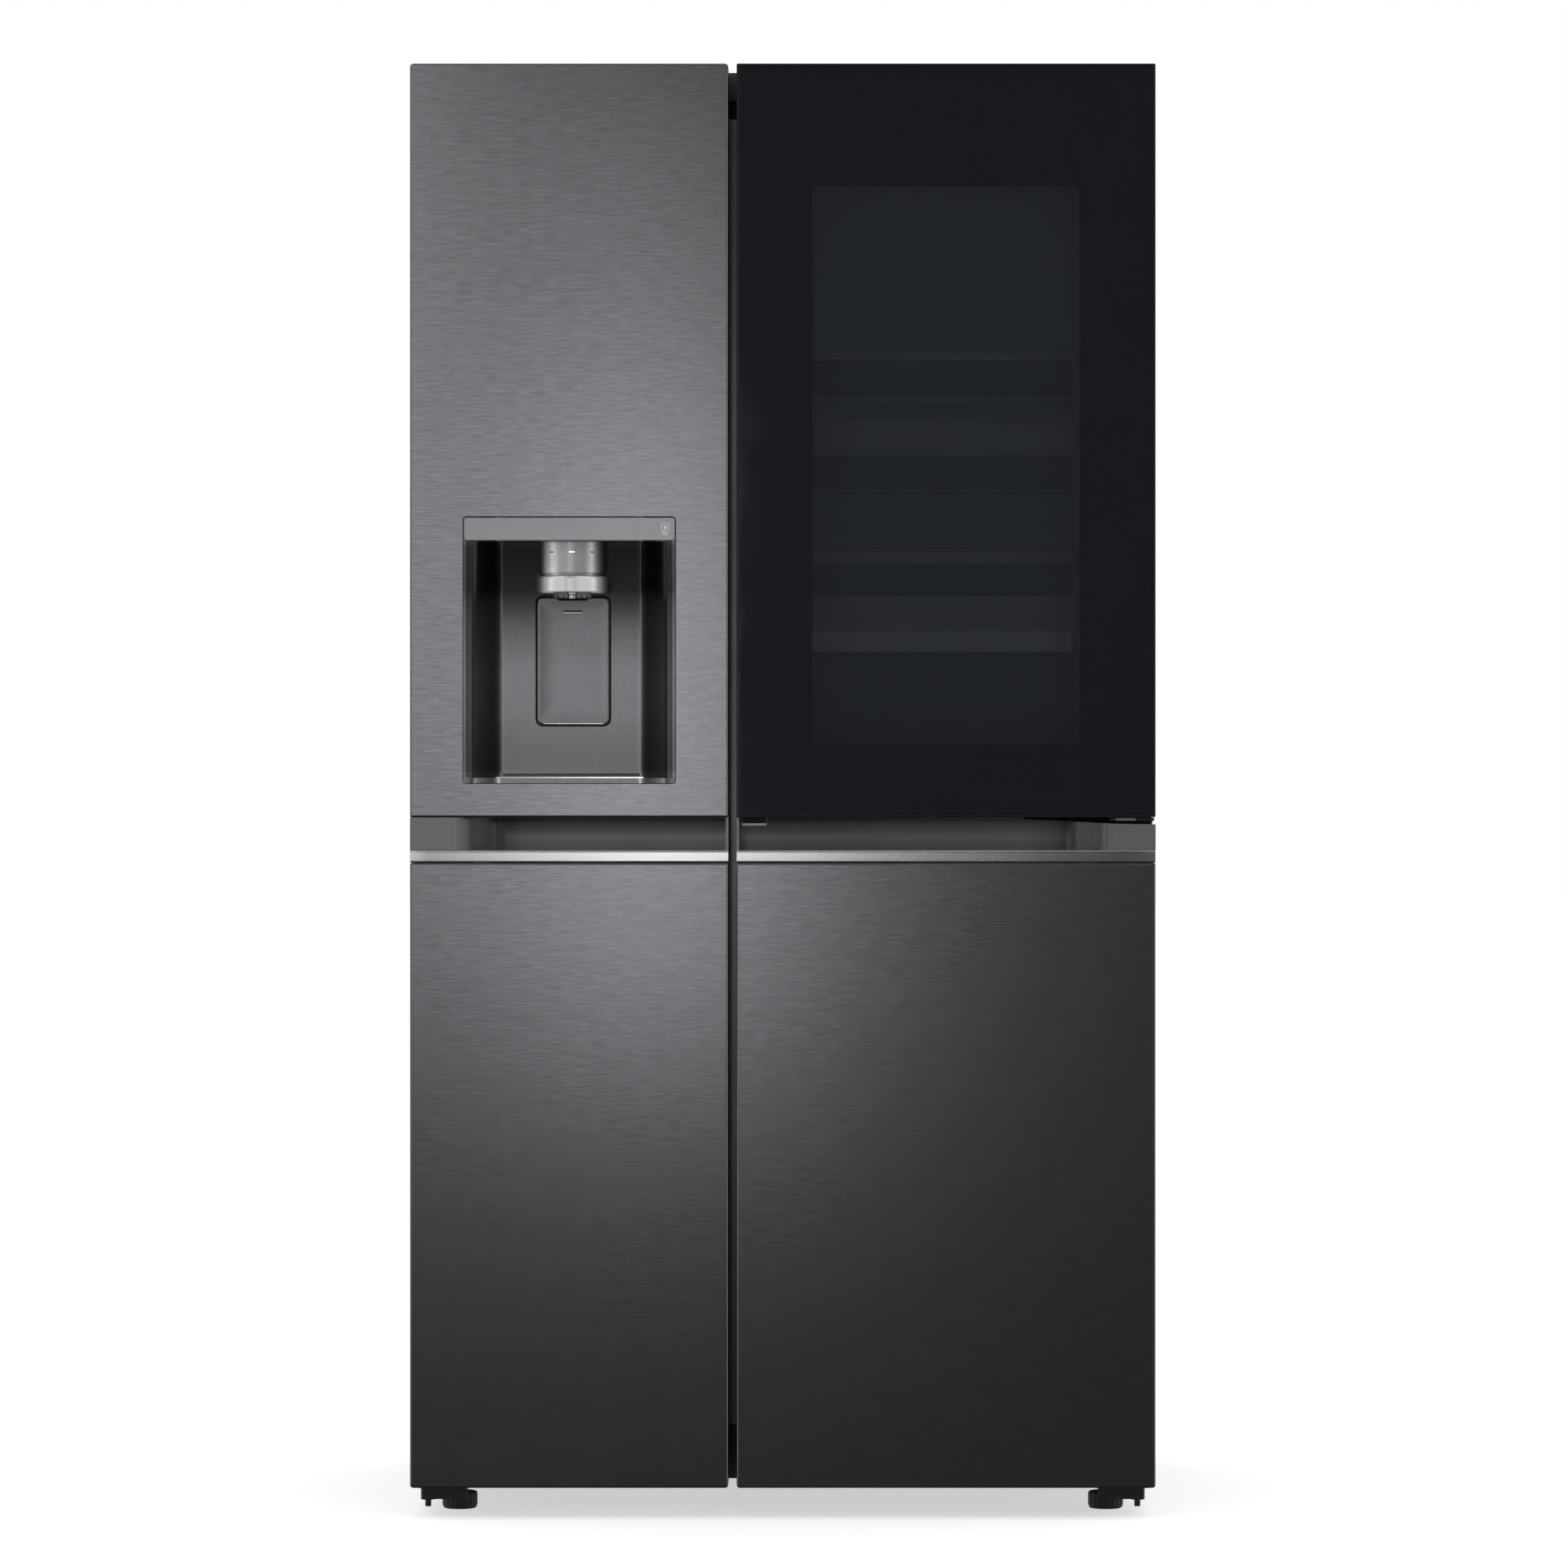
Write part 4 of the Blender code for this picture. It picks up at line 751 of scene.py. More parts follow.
heights = [RZ0, RZ0 + 0.0010, RZ0 + 0.0025, RZ0 + 0.0045, RZ0 + 0.0070, 0.930, 0.970, 1.010, 1.045] + [1.045 + (RZ1 - 1.045) * i / 10 for i in range(1, 11)]
inner = [[(x, y, z) for x, y, z in recess_loop(z)] for z in heights]
# the tool that hollows the recess starts in front of the door
for loop in inner:
    loop.insert(0, (loop[0][0], -0.3800, loop[0][2]))
    loop.append((loop[-1][0], -0.3800, loop[-1][2]))
recess_tool = loft(inner)
bezel_loops = []
for d, y in ((0.0, -0.3632), (0.0, -0.3670), (0.0005, -0.3675), (0.0016, -0.3675)):
    bezel_loops.append([(px, y, pz) for px, pz in rounded(cav_lo.x + d, cav_hi.x - d, cav_lo.z + d, cav_hi.z - d, 0.0050 - d, 6)])
bezel = loft(bezel_loops)
block = box((-0.3895, -0.3640, 0.9015), (-0.1330, -0.2895, 1.2265))
paddle_box = box((-0.3085, -0.2910, 0.9660), (-0.2095, -0.2760, 1.1380))
cavity = plus(bezel, block, paddle_box)
cavity = minus(cavity, recess_tool)
drips = [prism(rounded(CX + 0.014 * i - 0.0035, CX + 0.014 * i + 0.0035, -0.3440, -0.3080, 0.0030, 4), 2, 0.9052, 0.9090) for i in range(-4, 5)]
cavity = minus(
    cavity,
    *drips,
    prism(rounded(-0.3055, -0.2120, 0.9710, 1.1330, 0.0095, 7), 1, -0.31, -0.2785),
    prism(rounded(-0.3908, -0.1317, 1.1979, 1.2268, 0.0045, 6), 1, -0.40, -0.3640),
    cylinder(-0.2865, 1.124, 0.0029, 0, -0.3076, -0.3050, 20),
    cylinder(-0.2865, 1.124, 0.0029, 0, -0.2125, -0.2099, 20),
)
make("dispenser_recess", cavity, DISPENSER_PAINTED_LIGHT, "freezer_door", 28.0, 0.0005, 2, ("dispenser_cavity",))

# floor edge of the recess: a lip, a bright strip that paints the highlight line along it, and the drip slot behind it
lip_prof = [(-0.3672, 0.9030), (-0.3673, 0.9044), (-0.3669, 0.9052), (-0.3660, 0.9059), (-0.3648, 0.9062), (-0.3630, 0.9062), (-0.3622, 0.9070), (-0.3612, 0.9082), (-0.3598, 0.9088), (-0.3560, 0.9090), (-0.3560, 0.9030)]
make("dispenser_floor_painted_highlight", soft_box((CX - 0.0905, -0.3619, 0.9072), (CX + 0.0905, -0.3560, 0.9088), 0.0003, 1), BRIGHT, "freezer_door", 30.0, 0.0, 2)
make("dispenser_floor_lip", prism(lip_prof[:5] + [(-0.3630, 0.9062), (-0.3560, 0.9062), (-0.3560, 0.9030)], 0, CX - 0.0990, CX + 0.0990), TOWER_PAINTED_LIGHT, "freezer_door", 30.0, 0.0002, 2)
# control plate above the recess
header_lo, header_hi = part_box("dispenser_header")
plate_loops = []
for d, y in ((0.0, header_hi.y), (0.0, header_lo.y + 0.0009), (0.0002, header_lo.y + 0.0005), (0.0007, header_lo.y + 0.0003)):
    plate_loops.append([(px, y, pz) for px, pz in rounded(header_lo.x + d, header_hi.x - d, header_lo.z + d, header_hi.z - d, 0.0040 - d, 6)])
plate = loft(plate_loops)
make("dispenser_control_plate", plate, HEADER, "freezer_door", 30.0, 0.0, 2, ("dispenser_header",))


def flat_mark(shapes, y, depth=0.00022):
    """Printed marks standing a hair proud of a surface that faces the front."""
    return joined(*[prism(s, 1, y - depth, y + 0.0001) for s in shapes])


def bar(cx, cz, w, h, r=None):
    r = min(w, h) / 2.01 if r is None else r
    return rounded(cx - w / 2, cx + w / 2, cz - h / 2, cz + h / 2, r, 4)


def outline_mark(cx, cz, w, h, r, line):
    """A rounded square drawn as a line of even width."""
    outer = rounded(cx - w / 2, cx + w / 2, cz - h / 2, cz + h / 2, r, 5)
    inside = rounded(cx - w / 2 + line, cx + w / 2 - line, cz - h / 2 + line, cz + h / 2 - line, max(r - line, 0.0002), 5)
    y0, y1 = -0.36732, -0.36710
    return loft([[(x, y0, z) for x, z in outer], [(x, y1, z) for x, z in outer], [(x, y1, z) for x, z in inside], [(x, y0, z) for x, z in inside]], closed=True)


# clean-care pictogram at the header's right end: a tile with a drop, and two short lines
PX, PZ = -0.14385, 1.2145
drop = [(PX, PZ + 0.0024)] + [(PX + 0.00155 * math.cos(t), PZ - 0.0006 + 0.00155 * math.sin(t)) for t in [math.radians(35 - 250 * i / 14) for i in range(15)]]
make("dispenser_care_tile", outline_mark(PX, PZ, 0.0092, 0.0092, 0.0022, 0.0006), MARK, "freezer_door", 30.0)
make("dispenser_care_drop", flat_mark([drop[::-1], bar(PX, PZ - 0.0069, 0.0092, 0.0007), bar(PX, PZ - 0.0088, 0.0058, 0.0007)], -0.36712, 0.0002), MARK, "freezer_door", 30.0)

# tower and ring under the header
TX, TY = -0.2589, -0.3135


def d_plan(r, back=-0.2935, n=72):
    """D-shaped plan: a circle of radius r cut off along its back."""
    a = math.asin((back - TY) / r)
    pts = []
    for i in range(n + 1):
        t = math.pi - a + (math.pi + 2 * a) * i / n
        pts.append((TX + r * math.cos(t), TY + r * math.sin(t)))
    return pts


def d_stack(rows):
    return loft([[(x, y, z) for x, y in d_plan(r)] for r, z in rows])


tower = d_stack([(0.0365, 1.1559), (0.0378, 1.1562), (0.0380, 1.1570), (0.0380, 1.1590), (0.0410, 1.1592), (0.0416, 1.1598), (0.0417, 1.1606), (0.0417, 1.1973)])
make("dispenser_tower_body", tower, TOWER_PAINTED_LIGHT, "freezer_door", 25.0, 0.0, 2, ("dispenser_tower",))
band = d_stack([(0.0440, 1.1358), (0.0450, 1.1360), (0.0455, 1.1367), (0.0455, 1.1520), (0.0453, 1.1535), (0.0446, 1.1547), (0.0434, 1.1554), (0.0420, 1.1556)])
hollow = d_stack([(0.0400, 1.1300), (0.0400, 1.1450)])
for v in hollow.verts:
    v.co.y -= 0.0022
    if v.co.y > -0.2990:
        v.co.y = -0.2990
band = minus(band, hollow)
make("dispenser_bright_ring", band, RING_PAINTED_LIGHT, "freezer_door", 25.0, 0.0, 2, ("dispenser_ring",))
noz = lathe([(0.0, 1.1340), (0.0033, 1.1340), (0.0033, 1.1280), (0.0037, 1.1276), (0.0048, 1.1276), (0.0053, 1.1282), (0.0053, 1.1320), (0.0060, 1.1330), (0.0060, 1.1452), (0.0, 1.1452)], (TX, -0.335, 0.0), 2, 40)
make("dispenser_water_nozzle", noz, BRIGHT, "freezer_door", 30.0, 0.0, 2)
# smoked ice chute hanging under the ring
chute_rows = []
for w, d, z in ((0.0215, 0.0165, 1.1455), (0.0235, 0.0180, 1.1380), (0.0240, 0.0185, 1.1330), (0.0236, 0.0181, 1.1295)):
    chute_rows.append([(TX + w * math.cos(t), -0.3155 + d * math.sin(t), z) for t in [2 * math.pi * i / 64 for i in range(64)]])
chute_in = []
for w, d, z in ((0.0200, 0.0150, 1.1470), (0.0220, 0.0165, 1.1380), (0.0225, 0.0170, 1.1330), (0.0224, 0.0169, 1.1280)):
    chute_in.append([(TX + w * math.cos(t), -0.3155 + d * math.sin(t), z) for t in [2 * math.pi * i / 64 for i in range(64)]])
teeth = [box((TX - 0.026 + 0.0072 * i, -0.36, 1.1280), (TX - 0.026 + 0.0072 * i + 0.0018, -0.27, 1.1325)) for i in range(8)]
chute = minus(loft(chute_rows), loft(chute_in), *teeth, cylinder(TX, -0.335, 0.0064, 2, 1.12, 1.16, 24), self_overlap=True)
make("dispenser_ice_chute", chute, CHUTE, "freezer_door", 35.0, 0.0, 2)


def wrapped(shapes, r, z_of, depth=0.00025):
    """Marks given as outlines of (arc length, height), wrapped round the tower's front."""
    parts = []
    for s in shapes:
        inner_v, outer_v = [], []
        for u, h in s:
            t = -math.pi / 2 + u / r
            for rr, out in ((r - 0.0002, inner_v), (r + depth, outer_v)):
                out.append((TX + rr * math.cos(t), TY + rr * math.sin(t), z_of + h))
        parts.append(loft([inner_v, outer_v]))
    return joined(*parts)


cups = []
for k, u in enumerate((-0.0265, 0.0, 0.0265)):
    w, h = 0.0048, 0.0130
    cups += [
        [(u - w, h / 2), (u - w + 0.0007, h / 2), (u - w * 0.78 + 0.0007, -h / 2 + 0.0007), (u - w * 0.78 + 0.0007, -h / 2), (u - w * 0.78, -h / 2)],
        [(u + w, h / 2), (u + w * 0.78, -h / 2), (u + w * 0.78 - 0.0007, -h / 2), (u + w * 0.78 - 0.0007, -h / 2 + 0.0007), (u + w - 0.0007, h / 2)],
        [(u - w * 0.78, -h / 2), (u + w * 0.78, -h / 2), (u + w * 0.78, -h / 2 + 0.0007), (u - w * 0.78, -h / 2 + 0.0007)],
    ]
    if k == 0:
        cups += [[(u - 0.0022, 0.0012), (u + 0.0022, 0.0012), (u + 0.0022, 0.0018), (u - 0.0022, 0.0018)], [(u - 0.0018, -0.0012), (u + 0.0018, -0.0012), (u + 0.0018, -0.0006), (u - 0.0018, -0.0006)]]
    elif k == 1:
        cups += [[(u - 0.0016, -0.0028), (u + 0.0012, -0.0028), (u + 0.0012, 0.0000), (u - 0.0016, 0.0000)]]
    else:
        cups += [[(u - 0.0020, -0.0030), (u - 0.0002, -0.0030), (u - 0.0002, -0.0012), (u - 0.0020, -0.0012)], [(u + 0.0004, -0.0014), (u + 0.0020, -0.0014), (u + 0.0020, 0.0002), (u + 0.0004, 0.0002)]]
make("dispenser_cup_marks", wrapped(cups, 0.0417, 1.1738), MARK_CUP, "freezer_door", 30.0)
dashes = [[(u - 0.0030, -0.0006), (u + 0.0030, -0.0006), (u + 0.0030, 0.0006), (u - 0.0030, 0.0006)] for u in (-0.0265, 0.0265)]
make("dispenser_mode_dashes", wrapped(dashes, 0.0417, 1.1848), MARK_DARK, "freezer_door", 30.0)
make("dispenser_mode_light", wrapped([[(-0.0034, -0.0007), (0.0034, -0.0007), (0.0034, 0.0007), (-0.0034, 0.0007)]], 0.0417, 1.1848), LED, "freezer_door", 30.0)

# paddle: dished plate with a soft edge and a slot near its top; dark bars paint shade and shadow round it, light bars
# paint highlights under the slot and along the lower edge
p_lo, p_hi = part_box("dispenser_paddle")
pz0, pz1 = 0.9735, 1.1305
px0, px1 = -0.3035, -0.2140
rows = []
for d, y in ((0.0004, -0.2885), (0.0, -0.2889), (0.0, -0.2919), (0.0004, -0.2923), (0.0012, -0.2925), (0.0024, -0.2925)):
    rows.append([(x, y, z) for x, z in rounded(px0 + d, px1 - d, pz0 + d, pz1 - d, 0.0080 - d, 8)])
for d, y in ((0.0060, -0.29235), (0.0120, -0.29205), (0.0220, -0.2918), (0.0330, -0.2917)):
    rows.append([(x, y, z) for x, z in rounded(px0 + d, px1 - d, pz0 + d, pz1 - d, max(0.0080 - d * 0.18, 0.002), 8)])
paddle = loft(rows)
paddle = minus(paddle, prism(rounded(-0.2722, -0.2472, 1.1105, 1.1150, 0.0020, 5), 1, -0.30, -0.2902))
pin = cylinder(-0.2865, 1.124, 0.0025, 0, -0.3070, -0.2105, 24)
make("dispenser_paddle_plate", joined(paddle, pin), DISPENSER_PAINTED_LIGHT, "dispenser_paddle", 30.0, 0.0, 2, ("dispenser_paddle",))
# a dark bar paints the shade inside the slot, and a light bar under it paints the highlight of its lower edge
make("dispenser_paddle_slot_shade", prism(rounded(-0.2716, -0.2478, 1.1130, 1.1146, 0.0006, 4), 1, -0.2914, -0.2903), SLOT_PAINTED_SHADE, "dispenser_paddle", 30.0)
make("dispenser_paddle_slot_painted_highlight", prism(rounded(-0.2716, -0.2478, 1.1109, 1.1124, 0.0006, 4), 1, -0.2918, -0.2903), TOWER_PAINTED_LIGHT, "dispenser_paddle", 30.0)
# a dark bar across the paddle's top paints the shadow under the nozzle and chute
make("dispenser_paddle_painted_chute_shadow", soft_box((-0.2775, -0.2929, 1.1266), (-0.2415, -0.2921, 1.1290), 0.0003, 1), SLOT_PAINTED_SHADE, "dispenser_paddle", 30.0)
# a dark ring in the gap round the paddle paints the shade in that groove
groove_out = rounded(-0.3053, -0.2122, 0.9712, 1.1328, 0.0093, 7)
groove_in = rounded(-0.3039, -0.2136, 0.9731, 1.1309, 0.0080, 7)
make("dispenser_paddle_groove_painted_shade", loft([[(x, -0.2908, z) for x, z in groove_out], [(x, -0.2880, z) for x, z in groove_out], [(x, -0.2880, z) for x, z in groove_in], [(x, -0.2908, z) for x, z in groove_in]], closed=True), SLOT_PAINTED_SHADE, "freezer_door", 30.0)
# a light bar along the paddle's lower edge paints its highlight
make("dispenser_paddle_edge_painted_highlight", soft_box((px0 + 0.0080, -0.2926, pz0 + 0.0006), (px1 - 0.0080, -0.2919, pz0 + 0.0016), 0.0002, 1), TRIM, "dispenser_paddle", 30.0)

# ------------------------------------------------------------------------------------------ glass door
g_lo, g_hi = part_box("glass_front")
rows = []
for d, y in ((0.0003, g_hi.y), (0.0, g_hi.y - 0.0003), (0.0, g_lo.y + 0.0010), (0.0002, g_lo.y + 0.0005), (0.0006, g_lo.y + 0.0001), (0.0012, g_lo.y)):
    rows.append([(x, y, z) for x, z in rounded(g_lo.x + d, g_hi.x - d, g_lo.z + d, g_hi.z - d, 0.0034 - d, 6)])
make("glass_door_pane", loft(rows), GLASS_DARK, "glass_door", 30.0, 0.0, 2, ("glass_front",))

# black printed border on the back of the glass, and the window it leaves
frit_y = g_hi.y + 0.00008
WIN = (0.0363, 0.3636, 0.9487, 1.6322)
f_out = rounded(g_lo.x + 0.0008, g_hi.x - 0.0008, g_lo.z + 0.0008, g_hi.z - 0.0008, 0.0030, 6)
f_in = rounded(WIN[0], WIN[1], WIN[2], WIN[3], 0.0060, 6)
frit = loft([[(x, frit_y, z) for x, z in f_out], [(x, frit_y + 0.00012, z) for x, z in f_out], [(x, frit_y + 0.00012, z) for x, z in f_in], [(x, frit_y, z) for x, z in f_in]], closed=True)
make("glass_door_printed_border", frit, BLACK_GLOSS, "glass_door", 30.0)

finish_cad(["glass_frame"], BLACK_GLOSS, 0.0004)
finish_cad(["glass_inner_pane"], GLASS_CLEAR, 0.0006)


def bellows(name, node, body, wide, material=GASKET):
    """Magnetic door gasket: a soft bellows with a flat magnet strip, all round the door."""
    lo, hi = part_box(node)
    y0, y1 = lo.y, hi.y
    dy = y1 - y0
    prof = [
        (0.0020, y0), (0.0005, y0 + dy * 0.10), (0.0000, y0 + dy * 0.24), (0.0022, y0 + dy * 0.36), (0.0002, y0 + dy * 0.50), (0.0000, y0 + dy * 0.62),
        (0.0018, y0 + dy * 0.72), (0.0006, y0 + dy * 0.84), (0.0016, y1), (wide - 0.0016, y1), (wide - 0.0006, y0 + dy * 0.84), (wide - 0.0018, y0 + dy * 0.72),
        (wide, y0 + dy * 0.62), (wide - 0.0002, y0 + dy * 0.50), (wide - 0.0022, y0 + dy * 0.36), (wide, y0 + dy * 0.24), (wide - 0.0005, y0 + dy * 0.10), (wide - 0.0020, y0),
    ]
    return make(name, ring_sweep((lo.x, hi.x), (lo.z, hi.z), 0.006, prof, 5), material, body, 50.0, 0.0, 2, (node,))


bellows("freezer_door_seal", "freezer_gasket", "freezer_door", 0.016)
bellows("fridge_door_seal", "fridge_gasket", "fridge_door", 0.016)
bellows("glass_door_seal", "glass_gasket", "glass_door", 0.014)

# release lever under the glass door
make("glass_release_lip", soft_box((-0.0500, -0.3620, 0.8484), (-0.0195, -0.3350, 0.8524), 0.0007, 3), ZINC, "release_lever", 35.0, 0.0, 2, ("release_lever",))
make("glass_release_arm", joined(soft_box((-0.0490, -0.3395, 0.8515), (-0.0205, -0.3365, 0.8720), 0.0006, 2), cylinder(-0.338, 0.868, 0.0022, 0, -0.0505, -0.0190, 24)), BLACK, "release_lever", 35.0)

# ------------------------------------------------------------------------------------------ bins, drawers, shelves


def tray(name, node, body, material, wall=0.0025, r=0.014, draft=0.0, rim=0.0, dip=0.0, ribs=0):
    """Moulded open tray: round corners, rounded bottom edge, thin walls, turned rim."""
    lo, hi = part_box(node)
    return tray_box(name, (lo.x, hi.x), (lo.y, hi.y), (lo.z, hi.z), body, material, (node,), wall, r, draft, rim)


def plan_loop(x, y, inset, r, z, n=7):
    return [(px, py, z) for px, py in rounded(x[0] + inset, x[1] - inset, y[0] + inset, y[1] - inset, max(r - inset, 0.0015), n)]


def tray_box(name, x, y, z, body, material, stands_for, wall=0.0025, r=0.014, draft=0.0, rim=0.0):
    loops = []
    e = 0.006
    outside = [(draft + e, z[0]), (draft + e * 0.45, z[0] + e * 0.14), (draft + e * 0.12, z[0] + e * 0.50), (draft, z[0] + e)]
    for d, h in outside:
        loops.append(plan_loop(x, y, d, r, h))
    if rim > 0:
        loops += [plan_loop(x, y, rim + 0.0002, r, z[1] - 0.010), plan_loop(x, y, rim, r, z[1] - 0.0075), plan_loop(x, y, 0.0003, r, z[1] - 0.0065), plan_loop(x, y, 0.0, r, z[1] - 0.0055)]
    else:
        loops.append(plan_loop(x, y, 0.0, r, z[1] - 0.003))
    loops += [plan_loop(x, y, 0.0, r, z[1] - 0.0010), plan_loop(x, y, 0.0004, r, z[1] - 0.0003), plan_loop(x, y, 0.0010, r, z[1])]
    top_in = wall + rim
    loops += [plan_loop(x, y, top_in - 0.0006, r, z[1]), plan_loop(x, y, top_in - 0.0001, r, z[1] - 0.0006), plan_loop(x, y, top_in, r, z[1] - 0.0016)]
    for d, h in ((draft + wall, z[0] + e + wall * 0.6), (draft + wall + e * 0.2, z[0] + wall + e * 0.35), (draft + wall + e * 0.7, z[0] + wall + e * 0.08), (draft + wall + e * 1.2, z[0] + wall)):
        loops.append(plan_loop(x, y, max(d, 0.0), r, h))
    return make(name, loft(loops), material, body, 40.0, 0.0, 2, stands_for)


for node, body in (("door_bin_upper", "fridge_door"), ("door_bin_middle", "fridge_door"), ("door_bin_utility", "fridge_door"), ("fridge_bin_lower", "fridge_door"), ("freezer_bin", "freezer_door")):
    tray(f"{node}_moulding", node, body, BIN_CLEAR, 0.0025, 0.012, 0.0012, 0.0)
tray("ice_bank_moulding", "ice_bank", "freezer_door", ICE_CLEAR, 0.003, 0.016, 0.0015, 0.0)

for node, body in (("door_bin_upper", "fridge_door"), ("door_bin_middle", "fridge_door"), ("door_bin_utility", "fridge_door")):
    lo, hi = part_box(node)
    # grey retaining rails round the bin, at its rim and lower down
    rails = []
    for z0, z1 in ((hi.z - 0.0105, hi.z - 0.0005), (lo.z + 0.004, lo.z + 0.009)):
        a = [(0.0014, z0), (0.0010, z0 + 0.0006), (0.0010, z1 - 0.0006), (0.0014, z1), (0.0000, z1), (-0.0004, z1 - 0.0006), (-0.0004, z0 + 0.0006), (0.0000, z0)]
        loops = []
        for d, h in a:
            loops.append([(px, py, h) for px, py in rounded(lo.x + d, hi.x - d, lo.y + d, hi.y - d, 0.012, 7)])
        rails.append(loft(loops, closed=True))
    make(f"{node}_rails", joined(*rails), GREY_TRIM, body, 35.0, 0.0, 2)

def bin_band(name, node, z0, z1, material):
    lo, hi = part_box(node)
    make(name, soft_box((lo.x + 0.0100, lo.y - 0.0012, z0), (hi.x - 0.0100, lo.y - 0.0005, z1), 0.0003, 1), material, "fridge_door", 35.0)


bin_band("door_bin_upper_band", "door_bin_upper", 1.3764, 1.4225, BAND_DARK)
bin_band("door_bin_middle_band", "door_bin_middle", 1.2620, 1.3060, BAND_DARK)
bin_band("door_bin_utility_band", "door_bin_utility", 1.1315, 1.1725, BAND_DARK)
bin_band("door_bin_utility_strip", "door_bin_utility", 1.0640, 1.0893, BAND_LIGHT)
u_lo, u_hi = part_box("door_bin_upper")
make("door_bin_upper_vents", joined(*[prism(rounded(x0, x1, 1.3765, 1.3840, 0.0034, 5), 1, u_lo.y - 0.0018, u_lo.y - 0.0013) for x0, x1 in ((0.0505, 0.1005), (0.1537, 0.1787), (0.2330, 0.2760))]), BLACK, "fridge_door", 35.0)
r_lo, r_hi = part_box("door_bin_middle")
rack = []
for i in range(121):
    rx = r_lo.x + 0.012 + (r_hi.x - r_lo.x - 0.024) * i / 120
    bump = sum(max(0.0, 1.0 - ((rx - c) / 0.034) ** 2) for c in (0.0770, 0.1710, 0.2655))
    rack.append((rx, r_lo.y - 0.0024, 1.3075 + 0.0175 * min(1.0, bump)))
make("door_bin_bottle_rack", joined(tube(rack, 0.0009, 8), tube([(r_lo.x + 0.012, r_lo.y - 0.0024, 1.3062), (r_hi.x - 0.012, r_lo.y - 0.0024, 1.3062)], 0.0009, 8), tube([(r_lo.x + 0.012, r_lo.y - 0.0024, 1.3440), (r_hi.x - 0.012, r_lo.y - 0.0024, 1.3440)], 0.0009, 8)), GREY_TRIM, "fridge_door", 35.0)

for node, body in (("freezer_bin", "freezer_door"), ("fridge_bin_lower", "fridge_door")):
    lo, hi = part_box(node)
    a = [(0.0014, hi.z - 0.010), (0.0000, hi.z - 0.0095), (0.0000, hi.z - 0.0010), (0.0014, hi.z - 0.0005)]
    loops = [[(px, py, h) for px, py in rounded(lo.x + d, hi.x - d, lo.y + d, hi.y - d, 0.012, 7)] for d, h in a]
    make(f"{node}_rail", loft(loops, closed=True), GREY_TRIM, body, 35.0, 0.0, 2)

for node in ("freezer_drawer_upper", "freezer_drawer_lower", "crisper_drawer_upper", "crisper_drawer_lower"):
    lo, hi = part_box(node)
    y0 = lo.y + 0.009
    tray_box(f"{node}_moulding", (lo.x, hi.x), (y0, hi.y), (lo.z, hi.z), node, BIN_FROST, (node,), 0.003, 0.012, 0.0030, 0.0022)
    mid = (lo.x + hi.x) / 2
    front = [(y0 - 0.0085, hi.z - 0.0300), (y0 - 0.0088, hi.z - 0.0230), (y0 - 0.0075, hi.z - 0.0205), (y0 - 0.0040, hi.z - 0.0200), (y0 + 0.0010, hi.z - 0.0200), (y0 + 0.0010, hi.z - 0.0235), (y0 - 0.0050, hi.z - 0.0235), (y0 - 0.0055, hi.z - 0.0300)]
    make(f"{node}_grip", prism(front, 0, mid - 0.070, mid + 0.070), WHITE_TRIM, node, 35.0, 0.0004, 2)
    # front fascia frame
    fx, fz = (lo.x + 0.006, hi.x - 0.006), (lo.z + 0.010, hi.z - 0.0125)
    frame_rows = [[(px, y, pz) for px, pz in rounded(fx[0] + d, fx[1] - d, fz[0] + d, fz[1] - d, 0.008 - min(d, 0.006), 5)] for d, y in ((0.0, y0 + 0.0032), (0.0, y0 - 0.0004), (0.0006, y0 - 0.0010), (0.0050, y0 - 0.0010), (0.0056, y0 - 0.0004), (0.0056, y0 + 0.0032))]
    make(f"{node}_fascia", loft(frame_rows, closed=True), WHITE_TRIM, node, 35.0, 0.0, 2)

